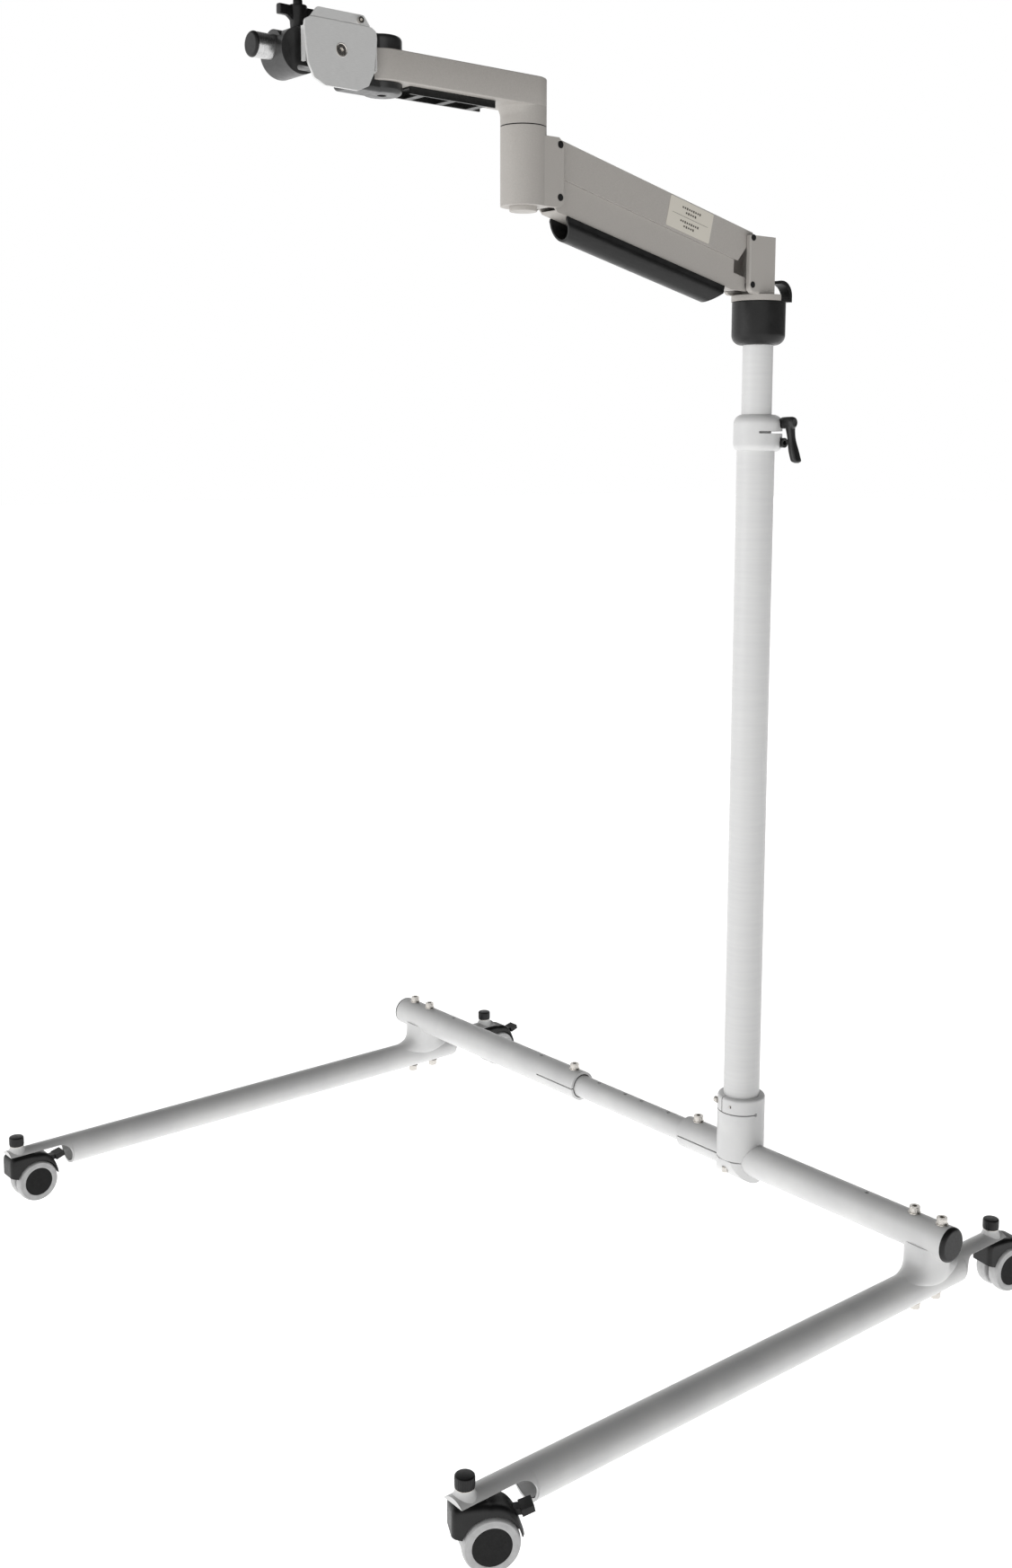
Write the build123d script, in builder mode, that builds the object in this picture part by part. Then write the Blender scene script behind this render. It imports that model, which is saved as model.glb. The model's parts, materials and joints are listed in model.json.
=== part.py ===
from build123d import *
import os
from math import atan2, cos, degrees, hypot, radians, sin, sqrt

os.makedirs("parts", exist_ok=True)

# ---------------------------------------------------------------- driving dimensions, mm
# The column axis stands at (col_x, col_y); +X runs along the cross tube, -Y to the front.
col_x = 220.965
col_y = 277.25

# base
leg_r = 21.0
leg_wall = 3.0
leg_z = 60.0
leg_front = -762.0
leg_rear = 160.0
leg_x_right = 322.0
leg_x_left = -753.0
cross_r = 22.5
cross_wall = 4.0
cross_z = 120.0
right_tube = (-104.0, 356.0)
left_tube = (-800.0, -334.0)
inner_r = 17.0
inner_wall = 3.0
inner_span = (-430.0, -10.0)
slit_len = 84.0
slit_w = 2.0
saddle_bolt_x = 21.0
saddle_bolt_y = 21.0
m8_head_r = 6.5
m8_head_h = 8.0
m8_r = 4.0

# casters
stem_front = -739.0
stem_rear = 137.0
wheel_r = 30.0
wheel_in = 3.4
wheel_out = 18.4
trail = 24.0
hub_r = 20.4
hood_half = 16.5
hood_top = 62.0
stud_r = 5.0
knob_lift = 6.5

# column and mast
socket_r = 33.0
socket_top = 211.0
column_r = 25.0
column_wall = 3.0
column_foot = 146.0
column_top = 1121.0
mast_r = 20.0
mast_wall = 2.5
mast_foot = 760.0
mast_top = 1284.0
clamp_r = 30.0
clamp_lobe_r = 18.0
clamp_lobe_y = 25.0
clamp_bottom = 1098.0
clamp_top = 1147.0
clamp_slit_z = 1123.5
clamp_screw_y = 31.0
lever_z = 1136.0
collar_r = 35.0
collar_bottom = 1236.0
collar_top = 1291.0

# spring arm, a parallelogram of two links
rear_y = -38.5
front_y = -364.5
rear_low_z = 1309.4
link_rise = 76.9
link_gap = 58.5
pin_r = 4.0
cheek_out = 24.0
cheek_in = 17.3
upper_half = 16.6
lower_half = 14.1
skin = 2.0

# forearm and head
elbow_y = -400.0
wrist_y = -596.0
barrel_r = 26.5
seam_z = 1462.0
bar_low = 1483.0
bar_high = 1515.0
tube_z = 1501.0
tube_r = 12.5
tube_rear = -626.0
tube_front = -752.5
fork_low = 1471.6
fork_high = 1531.0
plate_x = 34.0
plate_y = -671.0
crease_up = 28.0
stop_up = 32.4

fit = 0.05
gap = 0.3

link_run = front_y - rear_y
link_len = hypot(link_run, link_rise)
link_tilt = degrees(atan2(link_rise, -link_run))
rear_high_z = rear_low_z + link_gap
front_low_z = rear_low_z + link_rise
front_high_z = rear_high_z + link_rise


# ---------------------------------------------------------------- placing and exporting
def at(x, y, z):
    """Horizontal plane at a place measured from the column axis, normal up."""
    return Plane(origin=(col_x + x, col_y + y, z))


def along_x(x, y, z):
    """Plane facing +X, its local x along +Y and local y along +Z."""
    return Plane(origin=(col_x + x, col_y + y, z), x_dir=(0, 1, 0), z_dir=(1, 0, 0))


def along_y(x, y, z):
    """Plane facing -Y, its local x along +X and local y along +Z."""
    return Plane(origin=(col_x + x, col_y + y, z), x_dir=(1, 0, 0), z_dir=(0, -1, 0))


def link_plane(x, pivot_z):
    """Plane facing +X at a rear pivot, its local x back along the link."""
    up = radians(link_tilt)
    return Plane(origin=(col_x + x, col_y + rear_y, pivot_z),
                 x_dir=(0, cos(up), -sin(up)), z_dir=(1, 0, 0))


def save(piece, label):
    """Label a finished piece and write its STEP file."""
    piece.part.label = label
    export_step(piece.part, "parts/" + label + ".step")


# ---------------------------------------------------------------- cross tube, in three lengths
def outer_tube(label, span, slit_at, screw_x, leg_x, holes):
    """Slit outer tube with its clamp screw, saddle bolt and locking holes."""
    with BuildPart() as tube:
        with BuildSketch(along_x(span[0], 0, cross_z)):
            Circle(cross_r)
            Circle(cross_r - cross_wall, mode=Mode.SUBTRACT)
        extrude(amount=span[1] - span[0])
        with BuildSketch(along_y(slit_at, 0, cross_z)):
            Rectangle(slit_len, slit_w)
        extrude(amount=cross_r + 1, mode=Mode.SUBTRACT)
        with BuildSketch(at(0, 0, cross_z)):
            for x in [screw_x] + holes:
                with Locations((x, 0)):
                    Circle(m8_r if x == screw_x else 3.0)
        extrude(amount=cross_r + 1, mode=Mode.SUBTRACT)
        with BuildSketch(at(leg_x, 0, cross_z - cross_r - 1)):
            with GridLocations(2 * saddle_bolt_x, 1, 2, 1):
                Circle(m8_r)
        extrude(amount=2 * cross_r + 2, mode=Mode.SUBTRACT)
    save(tube, label)


outer_tube("cross_tube_right", right_tube, right_tube[0] + slit_len / 2, -82.0, leg_x_right,
           [225.0])
outer_tube("cross_tube_left", left_tube, left_tube[1] - slit_len / 2, -352.0, leg_x_left,
           [-662.0, -431.0])

with BuildPart() as inner_tube:
    with BuildSketch(along_x(inner_span[0], 0, cross_z)):
        Circle(inner_r)
        Circle(inner_r - inner_wall, mode=Mode.SUBTRACT)
    extrude(amount=inner_span[1] - inner_span[0])
    with BuildSketch(at(0, 0, cross_z)):
        with Locations((-293.6, 0), (-235.0, 0), (-200.0, 0), (-142.6, 0)):
            Circle(3.0)
    extrude(amount=inner_r + 1, mode=Mode.SUBTRACT)
save(inner_tube, "inner_tube")


def glide_bush(label, x):
    """Split plastic sleeve pressed into the mouth of an outer tube."""
    with BuildPart() as bush:
        with BuildSketch(along_x(x, 0, cross_z)):
            Circle(cross_r - cross_wall)
            Circle(inner_r + fit, mode=Mode.SUBTRACT)
            with Locations((-cross_r + cross_wall, 0)):
                Rectangle(6, slit_w, mode=Mode.SUBTRACT)
        extrude(amount=30)
    save(bush, label)


glide_bush("glide_bush_right", right_tube[0])
glide_bush("glide_bush_left", left_tube[1] - 30)


def tube_cap(label, x, way):
    """Domed plastic cap with a spigot in the open end of the cross tube."""
    mouth = Plane(origin=(col_x + x, col_y, cross_z), z_dir=(way, 0, 0))
    with BuildPart() as cap:
        with BuildSketch(mouth):
            Circle(cross_r)
        extrude(amount=5.5)
        fillet(cap.edges().sort_by(Axis.X)[-1 if way > 0 else 0], 5.0)
        with BuildSketch(mouth):
            Circle(cross_r - cross_wall)
        extrude(amount=-8)
    save(cap, label)


tube_cap("tube_cap_right", right_tube[1], 1)
tube_cap("tube_cap_left", left_tube[0], -1)


# ---------------------------------------------------------------- legs and saddles
def leg(label, x):
    """Leg tube, its underside cut back at both ends into a half-round caster flange."""
    with BuildPart() as tube:
        with BuildSketch(along_y(x, leg_rear, leg_z)):
            Circle(leg_r)
            Circle(leg_r - leg_wall, mode=Mode.SUBTRACT)
        extrude(amount=leg_rear - leg_front)
        for stem, way in ((stem_front, -1), (stem_rear, 1)):
            tip = leg_front - 1 if way < 0 else leg_rear + 1
            with BuildSketch(along_x(x - leg_r - 1, 0, 0)):
                with BuildLine():
                    throat = stem - way * 72
                    Polyline((throat - way * 22, 38), (tip, 38), (tip, 64), (throat, 64))
                    RadiusArc((throat, 64), (throat - way * 22, 42), -22 * way)
                    Line((throat - way * 22, 42), (throat - way * 22, 38))
                make_face()
            extrude(amount=2 * leg_r + 2, mode=Mode.SUBTRACT)
        with BuildSketch(at(x, 0, leg_z)):
            with Locations((0, stem_front), (0, stem_rear)):
                Circle(5.0)
        extrude(amount=leg_r + 1, mode=Mode.SUBTRACT)
        with BuildSketch(at(x, 0, leg_z - leg_r - 1)):
            with GridLocations(1, 2 * saddle_bolt_y, 1, 2):
                Circle(m8_r)
        extrude(amount=2 * leg_r + 2, mode=Mode.SUBTRACT)
    save(tube, label)


leg("leg_right", leg_x_right)
leg("leg_left", leg_x_left)


def saddle(label, x):
    """Cast saddle that carries the cross tube on the leg, with a long tapered foot."""
    with BuildPart() as block:
        with BuildSketch(at(x, 0, 66)):
            RectangleRounded(56, 46, 20)
        extrude(amount=46)
        with BuildSketch(Plane(origin=(col_x + x, col_y, leg_z), x_dir=(0, 1, 0),
                               z_dir=(1, 0, 0))):
            Polygon((-56, leg_r), (-26, leg_r + 4.5), (26, leg_r + 4.5), (56, leg_r),
                    align=None)
        revolve(axis=Axis((col_x + x, col_y, leg_z), (0, 1, 0)), revolution_arc=70)
        mirror(about=Plane(origin=(col_x + x, col_y, leg_z), z_dir=(1, 0, 0)))
        with BuildSketch(along_y(x, 60, leg_z)):
            Circle(leg_r)
        extrude(amount=120, mode=Mode.SUBTRACT)
        with BuildSketch(along_x(x - 40, 0, cross_z)):
            Circle(cross_r)
        extrude(amount=80, mode=Mode.SUBTRACT)
        with BuildSketch(at(x, 0, 88)):
            with GridLocations(2 * saddle_bolt_x, 1, 2, 1):
                Circle(m8_r)
        extrude(amount=30, mode=Mode.SUBTRACT)
        with BuildSketch(at(x, 0, 78)):
            with GridLocations(1, 2 * saddle_bolt_y, 1, 2):
                Circle(m8_r)
        extrude(amount=14, mode=Mode.SUBTRACT)
    save(block, label)


saddle("saddle_right", leg_x_right)
saddle("saddle_left", leg_x_left)


def cap_screws(label, leg_x, clamp_x):
    """The cap screws of one side: two down through the tube, two up, one tube clamp."""
    tube_top = cross_z + cross_r
    leg_low = leg_z - leg_r
    seats = [(leg_x - saddle_bolt_x, 0, tube_top, tube_top - 88, 1),
             (leg_x + saddle_bolt_x, 0, tube_top, tube_top - 88, 1),
             (leg_x, -saddle_bolt_y, leg_low, 92 - leg_low, -1),
             (leg_x, saddle_bolt_y, leg_low, 92 - leg_low, -1),
             (clamp_x, 0, tube_top, cross_wall, 1)]
    with BuildPart() as screws:
        for x, y, z, length, way in seats:
            seat = Plane(origin=(col_x + x, col_y + y, z), z_dir=(0, 0, way))
            with BuildSketch(seat):
                Circle(8.0)
            extrude(amount=1.2)
            with BuildSketch(seat.offset(1.2)):
                Circle(m8_head_r)
            extrude(amount=m8_head_h)
            with BuildSketch(seat.offset(1.2 + m8_head_h)):
                RegularPolygon(3.4, 6)
            extrude(amount=-4, mode=Mode.SUBTRACT)
            with BuildSketch(seat.offset(-length)):
                Circle(m8_r)
            extrude(amount=length)
    save(screws, label)


cap_screws("cap_screws_right", leg_x_right, -82.0)
cap_screws("cap_screws_left", leg_x_left, -352.0)


def stem_knobs(label, x):
    """Round threaded knobs that hold the caster stems, each on a short neck."""
    with BuildPart() as knobs:
        for y in (stem_front, stem_rear):
            with BuildSketch(at(x, y, leg_z + leg_r)):
                Circle(9.0)
            extrude(amount=knob_lift)
            with BuildSketch(at(x, y, leg_z + leg_r + knob_lift)):
                Circle(10.5)
            extrude(amount=13)
            fillet(knobs.edges().filter_by(GeomType.CIRCLE).group_by(Axis.Z)[-1], 2.0)
            with BuildSketch(at(x, y, 55.5)):
                Circle(stud_r)
            extrude(amount=leg_z + leg_r - 55.5)
    save(knobs, label)


stem_knobs("stem_knobs_right", leg_x_right)
stem_knobs("stem_knobs_left", leg_x_left)


# ---------------------------------------------------------------- casters
def caster(name, x, y, heading):
    """Twin-wheel caster under a leg end, trailing towards heading, with a brake pedal."""
    out = (cos(radians(heading)), sin(radians(heading)), 0)
    side = (out[1], -out[0], 0)

    def upright(n):
        """Plane of the wheel, n mm to the side of the stem; local x trails, y is up."""
        return Plane(origin=(col_x + x + n * side[0], col_y + y + n * side[1], 0),
                     x_dir=out, z_dir=side)

    with BuildPart() as hood:
        with BuildSketch(upright(-hood_half)):
            with BuildLine():
                Polyline((-16, 20), (-16, 52), (-8, hood_top), (14, hood_top))
                ThreePointArc((14, hood_top), (trail + 24.7, 54.7), (trail + 34.6, 24))
                Polyline((trail + 34.6, 24), (trail + 31.2, 24), (trail + 20, 24),
                         (-6, 14), (-12, 14), (-16, 20))
            make_face()
            with Locations((trail, wheel_r)):
                Circle(wheel_r + 1.2, mode=Mode.SUBTRACT)
        extrude(amount=2 * hood_half)
        fillet(hood.edges().filter_by(GeomType.CIRCLE, reverse=True).sort_by(Axis.Z)[-1:], 1)
        with BuildSketch(upright(-wheel_in + 0.4)):
            with Locations((trail, wheel_r)):
                Circle(12)
            with Locations((trail / 2, 40)):
                Rectangle(trail + 6, 34)
        extrude(amount=2 * wheel_in - 0.8)
        with BuildSketch(upright(-wheel_in)):
            with Locations((trail, wheel_r)):
                Circle(4.05)
        extrude(amount=2 * wheel_in, mode=Mode.SUBTRACT)
        with BuildSketch(upright(-6)):
            with Locations((trail + 22, 56)):
                Rectangle(18, 12, rotation=-50)
        extrude(amount=12, mode=Mode.SUBTRACT)
        with BuildSketch(upright(-7)):
            with Locations((trail + 22, 56)):
                Circle(1.5)
        extrude(amount=14)
        with BuildSketch(at(x, y, hood_top - 6)):
            Circle(8.0)
        extrude(amount=20)
        with BuildSketch(at(x, y, 55)):
            Circle(stud_r + fit)
        extrude(amount=30, mode=Mode.SUBTRACT)
    save(hood, name + "_hood")

    with BuildPart() as treads:
        for n in (wheel_in, -wheel_out):
            with BuildSketch(upright(n)):
                with Locations((trail, wheel_r)):
                    Circle(wheel_r)
                    Circle(hub_r, mode=Mode.SUBTRACT)
            extrude(amount=wheel_out - wheel_in)
        fillet(treads.edges().filter_by(GeomType.CIRCLE)
               .filter_by(lambda e: e.radius > hub_r + 1), 3.5)
    save(treads, name + "_treads")

    with BuildPart() as hubs:
        for n in (wheel_in, -wheel_out):
            with BuildSketch(upright(n)):
                with Locations((trail, wheel_r)):
                    Circle(hub_r)
            extrude(amount=wheel_out - wheel_in)
        with BuildSketch(upright(-wheel_in - 1)):
            with Locations((trail, wheel_r)):
                Circle(4.0)
        extrude(amount=2 * wheel_in + 2)
    save(hubs, name + "_hubs")

    with BuildPart() as pedal:
        with BuildSketch(upright(-5.7)):
            with Locations((trail + 22, 56)):
                Circle(3.2)
            Polygon((trail + 19.5, 57.5), (trail + 23.5, 52.8), (trail + 34, 52),
                    (trail + 44, 56), (trail + 43, 61), (trail + 32, 59.3),
                    (trail + 22, 59.2), align=None)
        extrude(amount=11.4)
        with BuildSketch(upright(-9)):
            Polygon((trail + 33, 51.6), (trail + 46, 56), (trail + 44.5, 62.6),
                    (trail + 31, 59.2), align=None)
        extrude(amount=18)
        with BuildSketch(upright(-9)):
            with Locations((trail + 22, 56)):
                Circle(1.55)
        extrude(amount=18, mode=Mode.SUBTRACT)
    save(pedal, name + "_pedal")


caster("caster_fr", leg_x_right, stem_front, 63.0)
caster("caster_fl", leg_x_left, stem_front, 90.0)
caster("caster_rr", leg_x_right, stem_rear, 80.0)
caster("caster_rl", leg_x_left, stem_rear, 90.0)


# ---------------------------------------------------------------- column socket
slit_turn = -101.0
slit_out = (cos(radians(slit_turn)), sin(radians(slit_turn)), 0)
slit_way = (-slit_out[1], slit_out[0], 0)

with BuildPart() as column_socket:
    with BuildSketch(along_x(-socket_r, 0, cross_z)):
        Circle(31)
        with Locations((0, (socket_top - cross_z) / 2)):
            Rectangle(2 * socket_r, socket_top - cross_z)
    extrude(amount=2 * socket_r)
    with BuildSketch(at(0, 0, 80)):
        Circle(socket_r)
    extrude(amount=140, mode=Mode.INTERSECT)
    fillet(column_socket.edges().filter_by(GeomType.CIRCLE).sort_by(Axis.Z)[-1:], 4)
    with BuildSketch(at(0, 0, column_foot)):
        Circle(column_r)
    extrude(amount=80, mode=Mode.SUBTRACT)
    with BuildSketch(along_x(-40, 0, cross_z)):
        Circle(cross_r)
    extrude(amount=80, mode=Mode.SUBTRACT)
    with BuildSketch(at(0, -socket_r, 188.2)):
        Rectangle(2 * socket_r + 2, 2 * socket_r - 8)
    extrude(amount=1.6, mode=Mode.SUBTRACT)
    with BuildSketch(along_x(-40, -5, 189)):
        Circle(2.4)
    extrude(amount=80, mode=Mode.SUBTRACT)
    with BuildSketch(Plane(origin=(col_x, col_y, 189), x_dir=slit_way, z_dir=slit_out)):
        with Locations((0, 15)):
            Rectangle(2, 30)
    extrude(amount=40, mode=Mode.SUBTRACT)
    with BuildSketch(along_y(0, -21, cross_z)):
        Rectangle(80, 1.6)
    extrude(amount=20, mode=Mode.SUBTRACT)
    with BuildSketch(Plane(origin=(col_x + 28.6 * slit_out[0] - 30 * slit_way[0],
                                   col_y + 28.6 * slit_out[1] - 30 * slit_way[1], 200),
                           z_dir=slit_way)):
        Circle(2.0)
    extrude(amount=46, mode=Mode.SUBTRACT)
    with BuildSketch(Plane(origin=(col_x + 28.6 * slit_out[0] - 30 * slit_way[0],
                                   col_y + 28.6 * slit_out[1] - 30 * slit_way[1], 200),
                           z_dir=slit_way)):
        Circle(4.6)
    extrude(amount=16, mode=Mode.SUBTRACT)
    with BuildSketch(at(-3, -27, 80)):
        Circle(2.0)
    extrude(amount=56, mode=Mode.SUBTRACT)
    with BuildSketch(at(-3, -27, 80)):
        Circle(4.6)
    extrude(amount=28, mode=Mode.SUBTRACT)
save(column_socket, "column_socket")

with BuildPart() as socket_screws:
    head = Plane(origin=(col_x + 28.6 * slit_out[0] - 14 * slit_way[0],
                         col_y + 28.6 * slit_out[1] - 14 * slit_way[1], 200), z_dir=slit_way)
    for base, reach in ((head, 29), (at(-3, -27, 108), 27)):
        with BuildSketch(base):
            Circle(2.0)
        extrude(amount=reach)
        with BuildSketch(base.offset(-7)):
            Circle(4.25)
        extrude(amount=7)
        with BuildSketch(base.offset(-7)):
            RegularPolygon(2.2, 6)
        extrude(amount=3, mode=Mode.SUBTRACT)
save(socket_screws, "socket_screws")

# ---------------------------------------------------------------- column, mast and their clamp
with BuildPart() as column_tube:
    with BuildSketch(at(0, 0, column_foot)):
        Circle(column_r)
        Circle(column_r - column_wall, mode=Mode.SUBTRACT)
    extrude(amount=column_top - column_foot)
save(column_tube, "column_tube")

with BuildPart() as column_bush:
    with BuildSketch(at(0, 0, column_top - 60)):
        Circle(column_r - column_wall)
        Circle(mast_r + fit, mode=Mode.SUBTRACT)
    extrude(amount=60)
save(column_bush, "column_bush")

with BuildPart() as mast_clamp:
    with BuildSketch(at(0, 0, clamp_bottom)) as outline:
        Circle(clamp_r)
        with Locations((0, clamp_lobe_y)):
            Circle(clamp_lobe_r)
        make_hull()
    extrude(amount=clamp_top - clamp_bottom)
    fillet(mast_clamp.edges().group_by(Axis.Z)[-1], 13)
    fillet(mast_clamp.edges().group_by(Axis.Z)[0], 10)
    with BuildSketch(at(0, 0, clamp_bottom - 1)):
        Circle(column_r)
    extrude(amount=column_top - clamp_bottom + 1, mode=Mode.SUBTRACT)
    with BuildSketch(at(0, 0, clamp_bottom)):
        Circle(mast_r + fit)
    extrude(amount=60, mode=Mode.SUBTRACT)
    with BuildSketch(at(0, 20, clamp_slit_z - 1.5)):
        Rectangle(80, 78)
    extrude(amount=3, mode=Mode.SUBTRACT)
    with BuildSketch(at(0, 34, clamp_bottom - 1)):
        Rectangle(2.5, 36)
    extrude(amount=60, mode=Mode.SUBTRACT)
    with BuildSketch(along_x(-40, clamp_screw_y, 0)):
        with Locations((0, lever_z)):
            Circle(m8_r + 0.4)
        with Locations((0, 1110)):
            Circle(m8_r)
    extrude(amount=80, mode=Mode.SUBTRACT)
    for z in (lever_z, 1110):
        with BuildSketch(along_x(17, clamp_screw_y, z)):
            Circle(9.0)
        extrude(amount=30, mode=Mode.SUBTRACT)
        with BuildSketch(along_x(-17, clamp_screw_y, z)):
            Circle(8.6)
        extrude(amount=-30, mode=Mode.SUBTRACT)
save(mast_clamp, "mast_clamp")

with BuildPart() as mast_clamp_screw:
    with BuildSketch(along_x(-16, clamp_screw_y, 1110)):
        Circle(m8_r)
    extrude(amount=33)
    with BuildSketch(along_x(17, clamp_screw_y, 1110)):
        Circle(m8_head_r)
    extrude(amount=6)
    with BuildSketch(along_x(23, clamp_screw_y, 1110)):
        RegularPolygon(3.4, 6)
    extrude(amount=-4, mode=Mode.SUBTRACT)
save(mast_clamp_screw, "mast_clamp_screw")

with BuildPart() as clamp_lever:
    with BuildSketch(along_x(-22, clamp_screw_y, lever_z)):
        Circle(m8_r)
    extrude(amount=44)
    with BuildSketch(along_x(-23.3, clamp_screw_y, lever_z)):
        RegularPolygon(6.5, 6)
    extrude(amount=6)
    with BuildSketch(along_x(17.4, clamp_screw_y, lever_z)):
        Circle(8.0)
    extrude(amount=22)
    fillet(clamp_lever.edges().filter_by(GeomType.CIRCLE).sort_by(Axis.X)[-1:], 5)
    with BuildSketch(at(32, clamp_screw_y, lever_z + 1)):
        Ellipse(6.6, 7.2)
    with BuildSketch(at(44, clamp_screw_y, lever_z - 50)):
        Ellipse(5.2, 6.4)
    loft()
    fillet(clamp_lever.edges().sort_by(Axis.Z)[:1], 3)
save(clamp_lever, "clamp_lever")

with BuildPart() as mast_tube:
    with BuildSketch(at(0, 0, mast_foot)):
        Circle(mast_r)
        Circle(mast_r - mast_wall, mode=Mode.SUBTRACT)
    extrude(amount=mast_top - mast_foot)
save(mast_tube, "mast_tube")

with BuildPart() as collar_cup:
    with BuildSketch(at(0, 0, collar_bottom)):
        Circle(collar_r)
    extrude(amount=collar_top - collar_bottom)
    fillet(collar_cup.edges().group_by(Axis.Z)[0], 13)
    fillet(collar_cup.edges().group_by(Axis.Z)[-1], 1)
    with BuildSketch(at(0, 0, collar_bottom)):
        Circle(mast_r)
    extrude(amount=mast_top - collar_bottom, mode=Mode.SUBTRACT)
    with BuildSketch(at(0, 0, mast_top)):
        Circle(mast_r - mast_wall)
    extrude(amount=20, mode=Mode.SUBTRACT)
save(collar_cup, "collar_cup")

# ---------------------------------------------------------------- base knuckle
knuckle_foot = collar_top + gap
knuckle_floor = knuckle_foot + 7.5
knuckle_top = 1371.0

with BuildPart() as base_knuckle:
    with BuildSketch(at(0, 0, knuckle_foot)):
        Circle(36)
        with Locations((0, 23)):
            Rectangle(80, 40, mode=Mode.SUBTRACT)
    extrude(amount=knuckle_floor - knuckle_foot)
    with BuildSketch(along_x(-cheek_out, 0, 0)):
        with BuildLine():
            Polyline((0, knuckle_foot), (3, knuckle_foot), (3, knuckle_top),
                     (-44, knuckle_top), (-44, knuckle_floor + 9))
            RadiusArc((-44, knuckle_floor + 9), (-35, knuckle_floor), -9)
            Polyline((-35, knuckle_floor), (-20, knuckle_floor), (0, knuckle_foot))
        make_face()
    extrude(amount=2 * cheek_out)
    with BuildSketch(at(0, -34, knuckle_floor)):
        Rectangle(2 * cheek_in, 40)
    extrude(amount=100, mode=Mode.SUBTRACT)
    fillet(base_knuckle.edges().filter_by(Axis.Z).group_by(Axis.Y)[0]
           .sort_by(Axis.X)[::3], 2.5)
    with BuildSketch(along_x(-30, rear_y, 0)):
        with Locations((0, rear_low_z), (0, rear_high_z)):
            Circle(pin_r)
    extrude(amount=60, mode=Mode.SUBTRACT)
    with BuildSketch(at(0, 0, 1225)):
        Circle(mast_r - mast_wall - 0.08)
    extrude(amount=knuckle_foot - 1225)
save(base_knuckle, "base_knuckle")


def pivot_pins(label, y, heights):
    """Two plain pivot pins across a knuckle's cheeks, their ends just proud."""
    with BuildPart() as pins:
        with BuildSketch(along_x(-cheek_out - 0.4, y, 0)):
            for z in heights:
                with Locations((0, z)):
                    Circle(pin_r)
        extrude(amount=2 * cheek_out + 0.8)
    save(pins, label)


pivot_pins("rear_pivot_pins", rear_y, (rear_low_z, rear_high_z))
pivot_pins("front_pivot_pins", front_y, (front_low_z, front_high_z))

with BuildPart() as cable_hook:
    with BuildSketch(along_x(2, 0, 0)):
        with BuildLine():
            Polyline((3, knuckle_foot + 1), (44, knuckle_foot + 1), (44, knuckle_foot + 8))
            ThreePointArc((44, knuckle_foot + 8), (38, 1314), (27, 1319))
            Polyline((27, 1319), (22, 1319), (22, 1315))
            ThreePointArc((22, 1315), (34, 1310.5), (40, 1299))
            Polyline((40, 1299), (40, knuckle_foot + 5), (3, knuckle_foot + 5),
                     (3, knuckle_foot + 1))
        make_face()
    extrude(amount=16)
save(cable_hook, "cable_hook")

# ---------------------------------------------------------------- the two links of the arm
link_out = -link_len

with BuildPart() as upper_cover:
    with BuildSketch(link_plane(-upper_half, rear_high_z)):
        with BuildLine():
            Polyline((0, -8), (8, -4), (8, 4), (4, 8.3), (link_out - 2, 8.3),
                     (link_out - 8, 4), (link_out - 8, -4), (link_out, -8),
                     (link_out + 18, -33), (-13, -33), (0, -8))
        make_face()
    extrude(amount=2 * upper_half)
    with BuildSketch(link_plane(-upper_half + skin, rear_high_z)):
        with BuildLine():
            Polyline((20, 8.3 - skin), (link_out - 20, 8.3 - skin), (link_out - 20, -40),
                     (20, -40), (20, 8.3 - skin))
        make_face()
    extrude(amount=2 * (upper_half - skin), mode=Mode.SUBTRACT)
    with BuildSketch(link_plane(-30, rear_high_z)):
        with Locations((0, 0), (link_out, 0)):
            Circle(pin_r + fit)
    extrude(amount=60, mode=Mode.SUBTRACT)
save(upper_cover, "upper_cover")

with BuildPart() as label_plate:
    with BuildSketch(link_plane(upper_half, rear_high_z)):
        with Locations((-108, -11.5)):
            RectangleRounded(77, 37, 1.5)
    extrude(amount=0.4)
save(label_plate, "label_plate")

with BuildPart() as gas_spring:
    axle = link_plane(0, rear_high_z)
    bore = Plane(origin=axle.from_local_coords((-298, -17, 0)), z_dir=axle.x_dir)
    with BuildSketch(bore):
        Circle(9)
    extrude(amount=150)
    with BuildSketch(bore.offset(150)):
        Circle(4)
    extrude(amount=112)
    with BuildSketch(link_plane(-6, rear_high_z)):
        with Locations((-294, -5), (-40, -5)):
            Rectangle(12, 2 * (5 + 8.3 - skin))
    extrude(amount=12)
save(gas_spring, "gas_spring")

with BuildPart() as lower_cover:
    with BuildSketch(link_plane(-lower_half, rear_low_z)):
        with BuildLine():
            Polyline((0, 8), (6.5, 4.7), (8, 0), (6, -5.3), (0, -8), (-26, -13.6),
                     (link_out + 8, -13.6), (link_out, -8), (link_out - 6.5, -4.7),
                     (link_out - 8, 0), (link_out - 6, 5.3), (link_out + 2, 12),
                     (link_out + 14, 36), (-34, 36), (-28, 8), (0, 8))
        make_face()
    extrude(amount=2 * lower_half)
    with BuildSketch(link_plane(-lower_half + skin, rear_low_z)):
        with BuildLine():
            Polyline((20, -13.6 + skin), (link_out - 20, -13.6 + skin), (link_out - 20, 40),
                     (20, 40), (20, -13.6 + skin))
        make_face()
    extrude(amount=2 * (lower_half - skin), mode=Mode.SUBTRACT)
    with BuildSketch(link_plane(-30, rear_low_z)):
        with Locations((0, 0), (link_out, 0)):
            Circle(pin_r + fit)
    extrude(amount=60, mode=Mode.SUBTRACT)
save(lower_cover, "lower_cover")

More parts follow.
